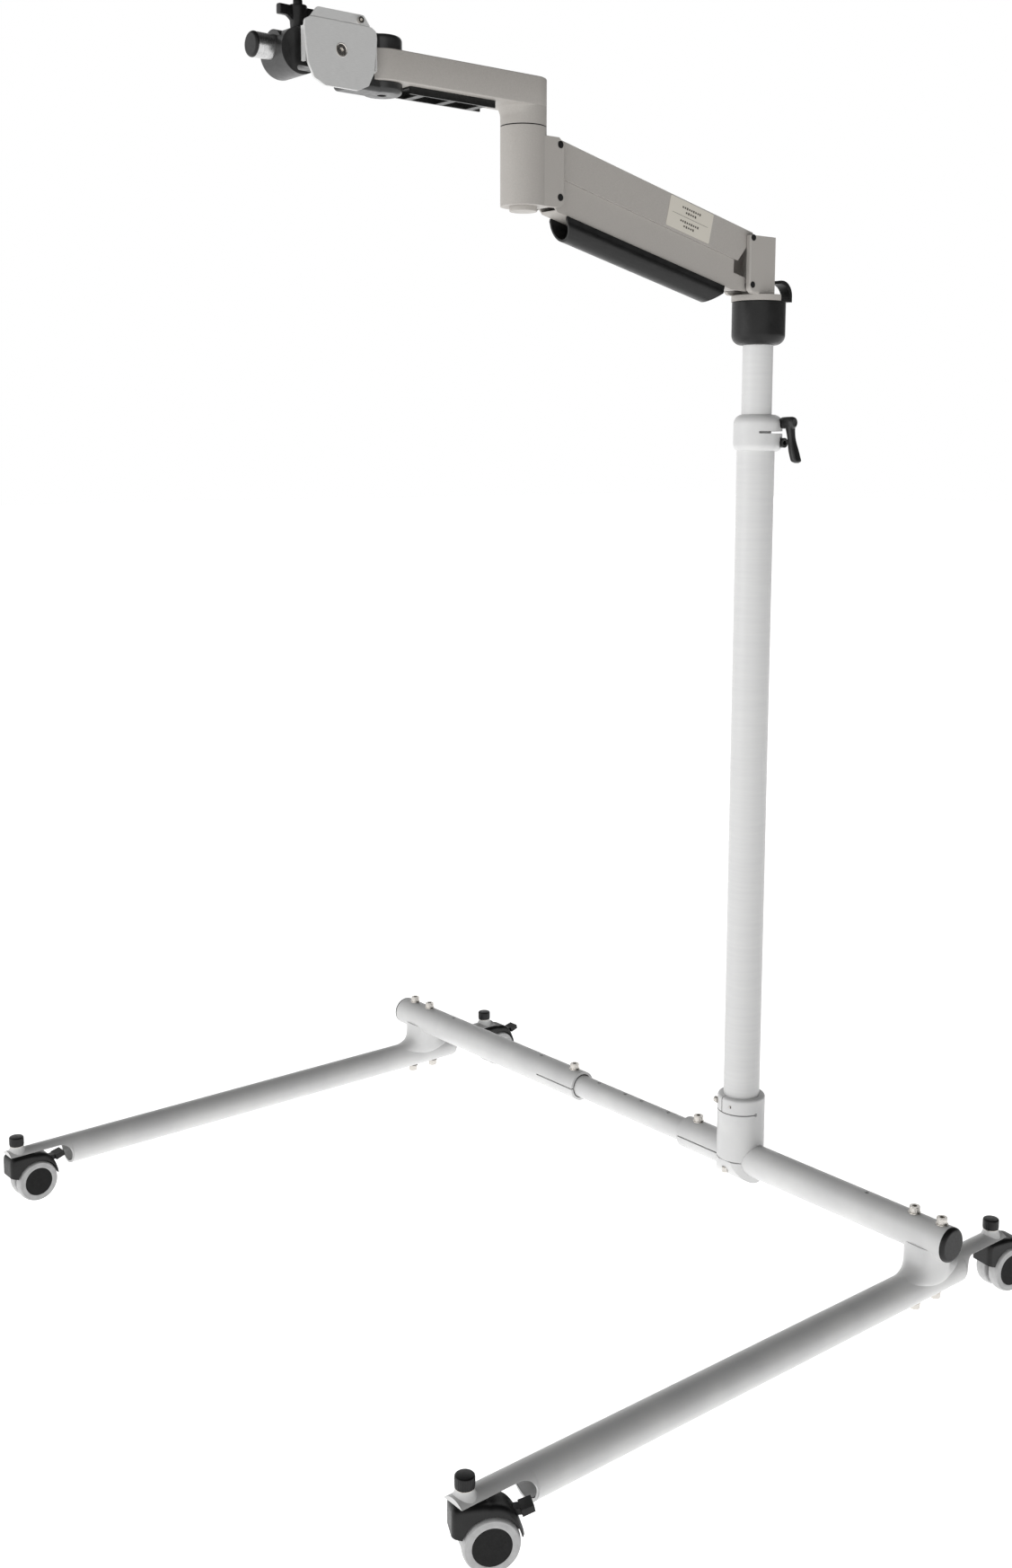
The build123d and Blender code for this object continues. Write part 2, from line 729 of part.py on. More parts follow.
with BuildPart() as cable_trough:
    base = link_plane(0, rear_low_z)
    mouth = Plane(origin=base.from_local_coords((link_out + 22, -13.6, 0)),
                  x_dir=(-1, 0, 0), z_dir=base.x_dir)
    with BuildSketch(mouth):
        with BuildLine():
            Line((16, 0), (16, -6))
            ThreePointArc((16, -6), (0, -25), (-16, -6))
            Line((-16, -6), (-16, 0))
            Line((-16, 0), (-13.5, 0))
            Line((-13.5, 0), (-13.5, -6))
            ThreePointArc((-13.5, -6), (0, -22.5), (13.5, -6))
            Line((13.5, -6), (13.5, 0))
            Line((13.5, 0), (16, 0))
        make_face()
    extrude(amount=272)
    with BuildSketch(link_plane(-20, rear_low_z)):
        Polygon((-30, -13), (-60, -40), (-20, -40), align=None)
        Polygon((link_out + 20, -14), (link_out + 36, -40), (link_out + 10, -40), align=None)
    extrude(amount=40, mode=Mode.SUBTRACT)
save(cable_trough, "cable_trough")

# ---------------------------------------------------------------- elbow
with BuildPart() as front_knuckle:
    with BuildSketch(at(0, elbow_y, 1375)):
        Circle(barrel_r)
    extrude(amount=seam_z - 1375)
    with BuildSketch(along_x(-cheek_out, 0, 0)):
        with BuildLine():
            Polyline((elbow_y, 1375), (front_y - 4, 1375))
            RadiusArc((front_y - 4, 1375), (front_y + 5.5, 1384.5), -9.5)
            Polyline((front_y + 5.5, 1384.5), (front_y + 5.5, front_high_z + 1),
                     (front_y - 2, 1452.5), (elbow_y, 1452.5), (elbow_y, 1375))
        make_face()
    extrude(amount=2 * cheek_out)
    with BuildSketch(at(0, -354.0, 1370)):
        Rectangle(2 * cheek_in, 43)
    extrude(amount=100, mode=Mode.SUBTRACT)
    with BuildSketch(along_x(-30, front_y, 0)):
        with Locations((0, front_low_z), (0, front_high_z)):
            Circle(pin_r)
    extrude(amount=60, mode=Mode.SUBTRACT)
    with BuildSketch(at(0, elbow_y, 1370)):
        Circle(12)
    extrude(amount=100, mode=Mode.SUBTRACT)
save(front_knuckle, "front_knuckle")

with BuildPart() as elbow_pin:
    with BuildSketch(at(0, elbow_y, 1369.5)):
        Circle(16)
    extrude(amount=5.5)
    fillet(elbow_pin.edges().group_by(Axis.Z)[0], 1)
    with BuildSketch(at(0, elbow_y, 1375)):
        Circle(12)
    extrude(amount=130)
    with BuildSketch(at(0, elbow_y, seam_z)):
        Circle(barrel_r - 0.8)
    extrude(amount=1)
save(elbow_pin, "elbow_pin")

with BuildPart() as forearm:
    with BuildSketch(at(0, (elbow_y + wrist_y) / 2, bar_low)):
        SlotCenterToCenter(elbow_y - wrist_y, 2 * barrel_r, rotation=90)
    extrude(amount=bar_high - bar_low)
    with BuildSketch(at(0, elbow_y, seam_z + 1 + gap)):
        Circle(barrel_r)
    extrude(amount=bar_low - seam_z - 1 - gap)
    with BuildSketch(along_x(-16, 0, 0)):
        Polygon((-420, bar_low - 16), (-420, bar_low + 1), (-444, bar_low + 1),
                (-440, bar_low), (-431, bar_low - 4), (-426.5, bar_low - 10), align=None)
    extrude(amount=32)
    with BuildSketch(at(0, elbow_y, seam_z)):
        Circle(12 + fit)
    extrude(amount=1505.5 - seam_z, mode=Mode.SUBTRACT)
    with BuildSketch(at(0, wrist_y, bar_low - 1)):
        Circle(9 + fit)
    extrude(amount=50, mode=Mode.SUBTRACT)
save(forearm, "forearm")

with BuildPart() as forearm_channel:
    with BuildSketch(at(0, -511, bar_low - 8)):
        Rectangle(30, 116)
    extrude(amount=8)
    with BuildSketch(at(0, -511, bar_low - 8)):
        Rectangle(25, 120)
    extrude(amount=6, mode=Mode.SUBTRACT)
    with BuildSketch(at(0, -511, bar_low - 8)):
        with GridLocations(1, 42, 1, 3):
            Rectangle(30, 9)
    extrude(amount=1.6)
save(forearm_channel, "forearm_channel")

# ---------------------------------------------------------------- head
with BuildPart() as head_fork:
    with BuildSketch(at(0, wrist_y, fork_low)):
        Circle(22)
        with Locations((0, -25)):
            RectangleRounded(34, 54, 5)
    extrude(amount=fork_high - fork_low)
    fillet(head_fork.edges().group_by(Axis.Z)[-1], 5)
    fillet(head_fork.edges().group_by(Axis.Z)[0], 5)
    with BuildSketch(at(0, wrist_y, bar_low - gap)):
        Circle(barrel_r + 0.6)
        with Locations((0, 20)):
            Rectangle(2 * barrel_r + 1.2, 40)
    extrude(amount=bar_high - bar_low + 2 * gap, mode=Mode.SUBTRACT)
    with BuildSketch(at(0, wrist_y, fork_low + 2)):
        Circle(9)
    extrude(amount=fork_high - fork_low - 4)
    with BuildSketch(at(0, wrist_y, fork_low)):
        Circle(5)
    extrude(amount=8, mode=Mode.SUBTRACT)
    with BuildSketch(along_y(0, tube_rear, tube_z)):
        Circle(tube_r)
    extrude(amount=40, mode=Mode.SUBTRACT)
save(head_fork, "head_fork")

with BuildPart() as holder_tube:
    with BuildSketch(along_y(0, tube_rear, tube_z)):
        Circle(tube_r)
        Circle(tube_r - 2, mode=Mode.SUBTRACT)
    extrude(amount=tube_rear - tube_front)
save(holder_tube, "holder_tube")

with BuildPart() as holder_tube_cap:
    with BuildSketch(along_y(0, tube_front, tube_z)):
        Circle(tube_r + 0.2)
    extrude(amount=3.5)
    fillet(holder_tube_cap.edges().sort_by(Axis.Y)[:1], 3.2)
    with BuildSketch(along_y(0, tube_front + 12, tube_z)):
        Circle(tube_r - 2)
    extrude(amount=12)
save(holder_tube_cap, "holder_tube_cap")

with BuildPart() as tube_clamp:
    with BuildSketch(along_x(-20, -711, tube_z - 4)):
        Circle(23)
    extrude(amount=44)
    fillet(tube_clamp.edges().filter_by(GeomType.CIRCLE).sort_by(Axis.X)[:1], 4)
    with BuildSketch(along_y(0, -652, tube_z)):
        Circle(17.5)
    extrude(amount=78)
    with BuildSketch(along_x(0, plate_y, tube_z)):
        Circle(15)
    extrude(amount=plate_x)
    with BuildSketch(at(0, -699, tube_z)):
        Circle(8)
    extrude(amount=19.5)
    with BuildSketch(along_y(0, -640, tube_z)):
        Circle(tube_r + fit)
    extrude(amount=100, mode=Mode.SUBTRACT)
    with BuildSketch(along_x(-30, -704, tube_z - 21)):
        SlotOverall(24, 5)
    extrude(amount=60, mode=Mode.SUBTRACT)
    with BuildSketch(at(0, -699, tube_z)):
        Circle(3.3)
    extrude(amount=30, mode=Mode.SUBTRACT)
    with BuildSketch(along_x(15, plate_y, tube_z)):
        Circle(3)
    extrude(amount=40, mode=Mode.SUBTRACT)
save(tube_clamp, "tube_clamp")

plate_outline = [(-28, 37), (28, 37), (36, 27), (43, 23), (44, 16), (40, -18), (33, -32),
                 (20, -38), (-20, -38), (-33, -32), (-40, -18), (-44, 16), (-43, 23), (-36, 27)]

with BuildPart() as quick_plate:
    with BuildSketch(along_x(plate_x, plate_y, tube_z + 1)) as plate_face:
        Polygon(*plate_outline, align=None)
        fillet(plate_face.vertices(), 4)
    extrude(amount=3)
    with BuildSketch(along_x(plate_x, plate_y, tube_z + 1)):
        with Locations((-42.5, 0), (42.5, 0)):
            Rectangle(3, 34)
    extrude(amount=-4)
    with BuildSketch(along_x(plate_x + 2.4, plate_y, tube_z + crease_up + 10)):
        Rectangle(100, 20)
    extrude(amount=3, mode=Mode.SUBTRACT)
    with BuildSketch(along_x(plate_x + 1.8, plate_y, tube_z + crease_up)):
        Rectangle(100, 1.2)
    extrude(amount=3, mode=Mode.SUBTRACT)
    with BuildSketch(along_x(plate_x - 1, plate_y, tube_z)):
        Circle(3)
    extrude(amount=6, mode=Mode.SUBTRACT)
    with BuildSketch(along_x(plate_x + 1, plate_y, tube_z)):
        Circle(6)
    extrude(amount=3, mode=Mode.SUBTRACT)
    with BuildSketch(along_x(plate_x - 1, plate_y + 23, tube_z + stop_up)):
        Circle(2.5)
    extrude(amount=6, mode=Mode.SUBTRACT)
save(quick_plate, "quick_plate")

with BuildPart() as plate_screws:
    for y, z, head_r, head_h, shank_r, seat, reach in (
            (plate_y, tube_z, 5.6, 1.9, 3.0, plate_x + 1, 18),
            (plate_y + 23, tube_z + stop_up, 3.4, 3.0, 2.5, plate_x + 2.4, 6)):
        with BuildSketch(along_x(seat, y, z)):
            Circle(head_r)
        extrude(amount=head_h)
        with BuildSketch(along_x(seat + head_h, y, z)):
            RegularPolygon(head_r * 0.45, 6)
        extrude(amount=-1.8, mode=Mode.SUBTRACT)
        with BuildSketch(along_x(seat - reach, y, z)):
            Circle(shank_r)
        extrude(amount=reach)
save(plate_screws, "plate_screws")

with BuildPart() as wing_knob:
    with BuildSketch(at(0, -699, tube_z + 19.8)):
        Circle(7.5)
    with BuildSketch(at(0, -699, tube_z + 42)):
        Circle(9.5)
    loft()
    with BuildSketch(at(0, -699, tube_z + 42)):
        Circle(9.5)
    extrude(amount=3)
    with BuildSketch(at(0, -699, tube_z + 45)):
        Circle(4.8)
    extrude(amount=6)
    with BuildSketch(along_x(-4, -699, tube_z)):
        Polygon((-24, 44), (24, 44), (24, 34), (12, 32), (5, 24), (-5, 24), (-12, 32),
                (-24, 34), align=None)
    extrude(amount=8)
    with BuildSketch(at(0, -699, tube_z + tube_r + 0.4)):
        Circle(3)
    extrude(amount=8)
save(wing_knob, "wing_knob")
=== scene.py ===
"""Finishes, detail pieces and studio for a mobile stand that carries a hand-held x-ray unit."""
import json
import math

import bmesh
import bpy
import numpy as np
from mathutils import Matrix, Vector


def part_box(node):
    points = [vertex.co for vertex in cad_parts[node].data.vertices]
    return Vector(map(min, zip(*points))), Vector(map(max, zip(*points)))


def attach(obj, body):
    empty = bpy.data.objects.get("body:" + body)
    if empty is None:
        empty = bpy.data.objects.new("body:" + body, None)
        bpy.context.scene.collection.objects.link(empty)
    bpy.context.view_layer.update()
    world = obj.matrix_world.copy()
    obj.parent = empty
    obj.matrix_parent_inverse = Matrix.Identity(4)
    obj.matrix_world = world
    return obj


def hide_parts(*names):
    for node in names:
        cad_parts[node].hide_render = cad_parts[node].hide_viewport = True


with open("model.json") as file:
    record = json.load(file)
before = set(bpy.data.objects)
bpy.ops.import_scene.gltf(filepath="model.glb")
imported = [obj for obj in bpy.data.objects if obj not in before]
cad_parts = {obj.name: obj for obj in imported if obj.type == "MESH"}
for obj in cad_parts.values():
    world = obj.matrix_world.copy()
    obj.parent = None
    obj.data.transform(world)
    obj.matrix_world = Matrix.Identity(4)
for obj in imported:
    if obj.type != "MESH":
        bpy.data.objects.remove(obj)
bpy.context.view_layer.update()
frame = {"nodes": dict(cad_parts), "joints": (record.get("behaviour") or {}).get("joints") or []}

bl_info = {
    "name": "Mobile X-ray Stand",
    "version": (1, 0, 0),
    "blender": (4, 5, 0),
    "location": "View3D > Sidebar > Stand",
    "description": "Adds the finishes, trim and studio of a mobile stand for a hand-held x-ray unit",
    "category": "Object",
}

MM = 0.001
CASTERS = ("fr", "fl", "rr", "rl")
SIDES = {"right": "base_right", "left": "base_left"}
JOINTS = {joint["name"]: joint for joint in frame["joints"]}


# ------------------------------------------------------------------ places read from the frame
def middle(node):
    """Centre of a CAD node's box."""
    low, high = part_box(node)
    return (np.array(low) + np.array(high)) / 2


def pivot(joint):
    """A point on a hinge's axis."""
    return np.array(JOINTS[joint]["pos_m"])


def heading(joint):
    """Unit vector along a joint's axis."""
    axis = np.array(JOINTS[joint]["axis"], dtype=float)
    return axis / np.linalg.norm(axis)


# ------------------------------------------------------------------ numpy surfaces
def basis(axis):
    """Two unit vectors square to axis and to each other, that turn rightwards about it."""
    axis = np.asarray(axis, dtype=float)
    helper = np.array((0.0, 0.0, 1.0)) if abs(axis[2]) < 0.9 else np.array((1.0, 0.0, 0.0))
    first = np.cross(helper, axis)
    first /= np.linalg.norm(first)
    return first, np.cross(axis, first)


def grid_faces(rows, columns, close_rows=False):
    """Quads of a rows x columns grid of points, each row joined round on itself.

    With close_rows the last row is joined to the first, as on a ring.
    """
    row = np.arange(rows if close_rows else rows - 1)
    i, j = np.meshgrid(row, np.arange(columns), indexing="ij")
    nxt_i = (i + 1) % rows
    nxt_j = (j + 1) % columns
    quads = np.stack((i * columns + j, i * columns + nxt_j, nxt_i * columns + nxt_j,
                      nxt_i * columns + j), axis=-1)
    return quads.reshape(-1, 4)


def closed_grid(points):
    """A grid of points, rows x steps x 3, as points and faces, flat over its two end rows."""
    rows, steps = points.shape[:2]
    faces = grid_faces(rows, steps).tolist()
    faces.append(list(range(steps))[::-1])
    faces.append(list(range((rows - 1) * steps, rows * steps)))
    return points.reshape(-1, 3), faces


def turned(profile, origin, axis, steps=64, ribs=0, depth=0.0, ribbed=(0, 0), ring=False):
    """A turned shape: every (radius, height) of the profile carried once round the axis.

    Point = origin + height * axis + r * (cos t * first + sin t * second), where r is the
    radius less depth * (1 - cos(ribs * t)) / 2 on the profile's ribbed rows. A ring closes
    its last row on its first; any other shape has a flat face at each end.
    """
    profile = np.asarray(profile, dtype=float) * MM
    first, second = basis(axis)
    turn = np.linspace(0, 2 * math.pi, steps, endpoint=False)
    radius = np.repeat(profile[:, :1], steps, axis=1)
    dip = depth * MM * (1 - np.cos(ribs * turn)) / 2
    radius[ribbed[0]:ribbed[1]] -= dip
    points = (np.asarray(origin) + profile[:, 1, None, None] * np.asarray(axis)
              + radius[..., None] * (np.cos(turn)[:, None] * first
                                     + np.sin(turn)[:, None] * second))
    if ring:
        return points.reshape(-1, 3), grid_faces(len(profile), steps, close_rows=True).tolist()
    return closed_grid(points)


def carried(centres, across, upward, widths, heights, power=2.0, steps=40):
    """A superellipse section carried along a path, closed by a flat face at each end.

    Point = centre + w * sgn(cos t) |cos t|^(2/p) * across + h * sgn(sin t) |sin t|^(2/p) * up,
    with a centre, half width w and half height h for each station of the path.
    """
    turn = np.linspace(0, 2 * math.pi, steps, endpoint=False)
    cos = np.sign(np.cos(turn)) * np.abs(np.cos(turn)) ** (2 / power)
    sin = np.sign(np.sin(turn)) * np.abs(np.sin(turn)) ** (2 / power)
    centres = np.asarray(centres, dtype=float)
    across = np.broadcast_to(across, centres.shape)
    upward = np.broadcast_to(upward, centres.shape)
    points = (centres[:, None] + (np.asarray(widths)[:, None] * cos)[..., None] * across[:, None]
              + (np.asarray(heights)[:, None] * sin)[..., None] * upward[:, None])
    return closed_grid(points)


def stacked(x, y, heights):
    """Closed outlines one above another, a row of x and y for each height, all in mm.

    Point = (x, y, height), with a flat face over the lowest and the highest outline.
    """
    z = np.broadcast_to(np.asarray(heights)[:, None], x.shape)
    return closed_grid(np.stack((x, y, z), axis=-1) * MM)


def joined(shapes):
    """Several (points, faces) as one."""
    points, faces, start = [], [], 0
    for shape_points, shape_faces in shapes:
        points.append(shape_points)
        faces += [[start + corner for corner in face] for face in shape_faces]
        start += len(shape_points)
    return np.concatenate(points), faces


def add_piece(name, shape, material, body, replaces=(), smooth=38.0):
    """Makes a mesh object of a shape, outward and smooth, and fastens it to a body."""
    points, faces = shape
    mesh = bpy.data.meshes.new(name)
    mesh.from_pydata(np.asarray(points).tolist(), [], faces)
    mesh.validate()
    mesh.update()
    mesh.shade_smooth()
    mesh.set_sharp_from_angle(angle=math.radians(smooth))
    mesh.materials.append(material)
    piece = bpy.data.objects.new(name, mesh)
    bpy.context.scene.collection.objects.link(piece)
    outward(mesh)
    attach(piece, body)
    if replaces:
        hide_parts(*replaces)
    return piece


def outward(mesh):
    """Turns each shell's faces out, by bmesh's own test of inside and outside."""
    work = bmesh.new()
    work.from_mesh(mesh)
    bmesh.ops.recalc_face_normals(work, faces=work.faces)
    work.to_mesh(mesh)
    work.free()


# ------------------------------------------------------------------ material helpers
def shade(code):
    """An sRGB hex colour such as "#D9D9D8" as linear red, green, blue and alpha."""
    value = np.array([int(code[i:i + 2], 16) for i in (1, 3, 5)]) / 255
    linear = np.where(value <= 0.04045, value / 12.92, ((value + 0.055) / 1.055) ** 2.4)
    return (*linear.tolist(), 1.0)


def add_node(tree, kind, settings=None, inputs=None):
    """Adds one node, sets its own settings, and sets or links its inputs."""
    node = tree.nodes.new(kind)
    for key, value in (settings or {}).items():
        setattr(node, key, value)
    for key, value in (inputs or {}).items():
        if isinstance(value, bpy.types.NodeSocket):
            tree.links.new(value, node.inputs[key])
        else:
            node.inputs[key].default_value = value
    return node


def start_material(name, metallic, roughness, ior=None, coat=0.0, coat_roughness=0.2,
                   specular=0.5):
    """A new material with a bare Principled shader: returns it, its tree, shader and place.

    At a specular level of 0.5 the surface reflects as much as its IOR gives.
    """
    material = bpy.data.materials.new(name)
    material.use_nodes = True
    tree = material.node_tree
    shader = tree.nodes["Principled BSDF"]
    shader.inputs["Metallic"].default_value = metallic
    shader.inputs["Roughness"].default_value = roughness
    shader.inputs["Specular IOR Level"].default_value = specular
    if ior:
        shader.inputs["IOR"].default_value = ior
    shader.inputs["Coat Weight"].default_value = coat
    shader.inputs["Coat Roughness"].default_value = coat_roughness
    place = add_node(tree, "ShaderNodeTexCoord").outputs["Object"]
    return material, tree, shader, place


def grain(tree, place, size_mm, low, high, stretch=(1, 1, 1), detail=3.0):
    """Soft random grain about size_mm across, drawn out by stretch, between low and high."""
    mapped = add_node(tree, "ShaderNodeMapping", inputs={"Vector": place, "Scale": stretch})
    noise = add_node(tree, "ShaderNodeTexNoise",
                     inputs={"Vector": mapped.outputs[0], "Scale": 1 / (size_mm * MM),
                             "Detail": detail})
    spread = add_node(tree, "ShaderNodeMapRange",
                      inputs={"Value": noise.outputs["Fac"], "From Min": 0.3, "From Max": 0.7,
                              "To Min": low, "To Max": high})
    return spread.outputs["Result"]


def tint(tree, shader, factor, low, high):
    """Base colour between two hex shades, by a factor from 0 to 1."""
    mix = add_node(tree, "ShaderNodeMix", {"data_type": "RGBA"},
                   {0: factor, 6: shade(low), 7: shade(high)})
    tree.links.new(mix.outputs[2], shader.inputs["Base Color"])


def relief(tree, shader, height, depth_mm, edge_mm=0.0):
    """Bump of depth_mm, over edges that look rounded to edge_mm."""
    inputs = {"Height": height, "Distance": depth_mm * MM, "Strength": 1.0}
    if edge_mm:
        inputs["Normal"] = add_node(tree, "ShaderNodeBevel", {"samples": 6},
                                    {"Radius": edge_mm * MM}).outputs[0]
    bump = add_node(tree, "ShaderNodeBump", inputs=inputs)
    tree.links.new(bump.outputs[0], shader.inputs["Normal"])


def drive_roughness(tree, shader, value):
    """Roughness from a pattern."""
    tree.links.new(value, shader.inputs["Roughness"])


# ------------------------------------------------------------------ the stand's finishes
def white_powder_coat():
    """Polyester powder coat on steel tube and castings, baked smooth.

    To the eye it is a satin off-white skin with a faint orange peel and soft highlights.
    """
    material, tree, shader, place = start_material("white_powder_coat", 0.0, 0.4, 1.5, 0.15, 0.3)
    tint(tree, shader, grain(tree, place, 45, 0, 1), stand().base_low, stand().base_high)
    drive_roughness(tree, shader, grain(tree, place, 12, 0.36, 0.46))
    relief(tree, shader, grain(tree, place, 1.6, 0, 1, detail=2), 0.02, 0.7)
    return material


def ground_tube_coat():
    """The same coat over centreless-ground tube, whose fine rings still show through.

    To the eye the column and mast carry faint level bands that break up the highlight.
    """
    material, tree, shader, place = start_material("ground_tube_coat", 0.0, 0.36, 1.5, 0.15, 0.3)
    rings = grain(tree, place, 60, 0.25, 0.75, stretch=(1, 1, 14), detail=2)
    tint(tree, shader, rings, stand().base_low, stand().base_high)
    drive_roughness(tree, shader, grain(tree, place, 30, 0.32, 0.44, stretch=(1, 1, 8)))
    relief(tree, shader, rings, 0.004, 0.6)
    return material


def textured_grey_coat():
    """Fine-texture powder coat on the cast and extruded arm, in a warm grey.

    To the eye it is an even matt grey with a grit of about half a millimetre.
    """
    material, tree, shader, place = start_material("textured_grey_coat", 0.0, 0.5, 1.5)
    tint(tree, shader, grain(tree, place, 0.7, 0, 1, detail=2), stand().arm_low, stand().arm_high)
    drive_roughness(tree, shader, grain(tree, place, 20, 0.44, 0.56))
    relief(tree, shader, grain(tree, place, 0.55, 0, 1, detail=1), 0.035, 0.8)
    return material


def brushed_plate_coat():
    """Light grey lacquer on a brushed aluminium plate.

    To the eye it is a flat pale grey with faint level brush lines under the lacquer.
    """
    material, tree, shader, place = start_material("brushed_plate_coat", 0.15, 0.42, None, 0.2)
    lines = grain(tree, place, 6, 0, 1, stretch=(1, 1, 16), detail=4)
    tint(tree, shader, lines, "#C6C6C5", "#D0D0CF")
    drive_roughness(tree, shader, grain(tree, place, 9, 0.36, 0.5))
    relief(tree, shader, lines, 0.01, 0.5)
    return material


def black_polyamide():
    """Glass-filled polyamide, moulded against a spark-eroded tool.

    To the eye it is a deep satin black with a fine leathery grain and a soft sheen.
    """
    material, tree, shader, place = start_material("black_polyamide", 0.0, 0.4, 1.53,
                                                   specular=0.3)
    tint(tree, shader, grain(tree, place, 18, 0, 1), "#0D0D0D", "#171717")
    drive_roughness(tree, shader, grain(tree, place, 3, 0.32, 0.46))
    relief(tree, shader, grain(tree, place, 0.7, 0, 1, detail=2), 0.03, 0.6)
    return material


def hub_polypropylene():
    """Matt polypropylene of the wheel discs.

    To the eye it is a flat charcoal with almost no reflection.
    """
    material, tree, shader, place = start_material("hub_polypropylene", 0.0, 0.7, 1.49,
                                                   specular=0.2)
    tint(tree, shader, grain(tree, place, 6, 0, 1), "#191919", "#202020")
    drive_roughness(tree, shader, grain(tree, place, 2, 0.62, 0.76))
    relief(tree, shader, grain(tree, place, 0.6, 0, 1, detail=1), 0.02, 0.4)
    return material


def extruded_black_pvc():
    """Extruded PVC channel, with the die's lines along it.

    To the eye it is a satin black that draws long soft highlights along the arm.
    """
    material, tree, shader, place = start_material("extruded_black_pvc", 0.0, 0.34, 1.54,
                                                   specular=0.3)
    lines = grain(tree, place, 5, 0, 1, stretch=(6, 0.15, 0.6), detail=3)
    tint(tree, shader, lines, "#101010", "#1B1B1B")
    drive_roughness(tree, shader, grain(tree, place, 8, 0.28, 0.4))
    relief(tree, shader, lines, 0.02, 0.4)
    return material


def black_e_coat():
    """Black dip-coated casting of the tube clamp and lever.

    To the eye it is a semi-gloss charcoal that shows broad soft highlights.
    """
    material, tree, shader, place = start_material("black_e_coat", 0.0, 0.36, 1.52, 0.1)
    tint(tree, shader, grain(tree, place, 14, 0, 1), "#1C1C1C", "#282828")
    drive_roughness(tree, shader, grain(tree, place, 5, 0.3, 0.42))
    relief(tree, shader, grain(tree, place, 1.1, 0, 1, detail=2), 0.03, 0.9)
    return material


def thermoplastic_tread():
    """Grey thermoplastic rubber moulded on the wheels.

    To the eye it is a matt light grey, a little darker where it has rolled.
    """
    material, tree, shader, place = start_material("thermoplastic_tread", 0.0, 0.6, 1.5)
    tint(tree, shader, grain(tree, place, 9, 0, 1), "#ADADAD", "#BCBCBC")
    drive_roughness(tree, shader, grain(tree, place, 3, 0.52, 0.68))
    relief(tree, shader, grain(tree, place, 0.8, 0, 1, detail=2), 0.03)
    return material


def turned_steel():
    """Bright stainless steel of the screws and washers, turned on a lathe.

    To the eye it mirrors the room, broken by fine turning lines.
    """
    material, tree, shader, place = start_material("turned_steel", 1.0, 0.2)
    lines = grain(tree, place, 1.5, 0, 1, stretch=(1, 1, 5))
    tint(tree, shader, lines, "#B9B4AE", "#DAD7D2")
    drive_roughness(tree, shader, grain(tree, place, 2, 0.14, 0.28))
    relief(tree, shader, lines, 0.006, 0.3)
    return material


def brushed_holder_tube():
    """Stainless tube, polished with a belt across its length.

    To the eye it is silver with a soft dark-to-light sweep and faint rings.
    """
    material, tree, shader, place = start_material("brushed_holder_tube", 1.0, 0.3)
    rings = grain(tree, place, 10, 0, 1, stretch=(1, 12, 1), detail=4)
    tint(tree, shader, rings, "#B8B8B8", "#CFCFCF")
    drive_roughness(tree, shader, grain(tree, place, 6, 0.24, 0.38, stretch=(1, 6, 1)))
    relief(tree, shader, rings, 0.01)
    return material


def label_film():
    """Champagne polyester film of the load label.

    To the eye it is a thin beige foil with a fine metallic grain.
    """
    material, tree, shader, place = start_material("label_film", 0.25, 0.45, 1.5)
    tint(tree, shader, grain(tree, place, 2.2, 0, 1, detail=5), "#9D9684", "#B5AE9C")
    drive_roughness(tree, shader, grain(tree, place, 4, 0.38, 0.52))
    relief(tree, shader, grain(tree, place, 0.9, 0, 1), 0.008)
    return material


def screen_ink():
    """Dark screen-print ink.

    To the eye it is a flat brown-black line.
    """
    material, tree, shader, place = start_material("screen_ink", 0.0, 0.6, 1.5)
    tint(tree, shader, grain(tree, place, 1.5, 0, 1), "#4B4740", "#57534B")
    return material


FINISHES = (white_powder_coat, ground_tube_coat, textured_grey_coat, brushed_plate_coat,
            black_polyamide, hub_polypropylene, extruded_black_pvc, black_e_coat,
            thermoplastic_tread, turned_steel, brushed_holder_tube, label_film, screen_ink)

NODE_FINISH = {
    "white_powder_coat": ("cross_tube_right", "cross_tube_left", "inner_tube", "leg_right",
                          "leg_left", "saddle_right", "saddle_left", "column_socket",
                          "mast_clamp"),
    "ground_tube_coat": ("column_tube", "mast_tube"),
    "textured_grey_coat": ("base_knuckle", "upper_cover", "lower_cover", "front_knuckle",
                           "forearm", "elbow_pin"),
    "brushed_plate_coat": ("quick_plate",),
    # glide_bush_right and glide_bush_left are black sleeves in the gap between the cross tubes and
    # the inner tube. Their black ring is a painted shadow of that gap.
    "black_polyamide": ("tube_cap_right", "tube_cap_left", "glide_bush_right",
                        "glide_bush_left", "column_bush", "stem_knobs_right",
                        "stem_knobs_left", "collar_cup", "cable_hook", "holder_tube_cap",
                        "wing_knob", "rear_pivot_pins", "front_pivot_pins",
                        *(f"caster_{c}_hood" for c in CASTERS),
                        *(f"caster_{c}_pedal" for c in CASTERS)),
    "hub_polypropylene": tuple(f"caster_{c}_hubs" for c in CASTERS),
    "extruded_black_pvc": ("cable_trough", "forearm_channel"),
    "black_e_coat": ("clamp_lever", "tube_clamp", "mast_clamp_screw", "head_fork"),
    "thermoplastic_tread": tuple(f"caster_{c}_treads" for c in CASTERS),
    "turned_steel": ("cap_screws_right", "cap_screws_left", "socket_screws",
                     "plate_screws", "gas_spring"),
    "brushed_holder_tube": ("holder_tube",),
    "label_film": ("label_plate",),
}


def finish(name):
    """A finish that has been made."""
    return bpy.data.materials[name]


def stand():
    """The user's settings for the stand."""
    return bpy.context.scene.stand_look


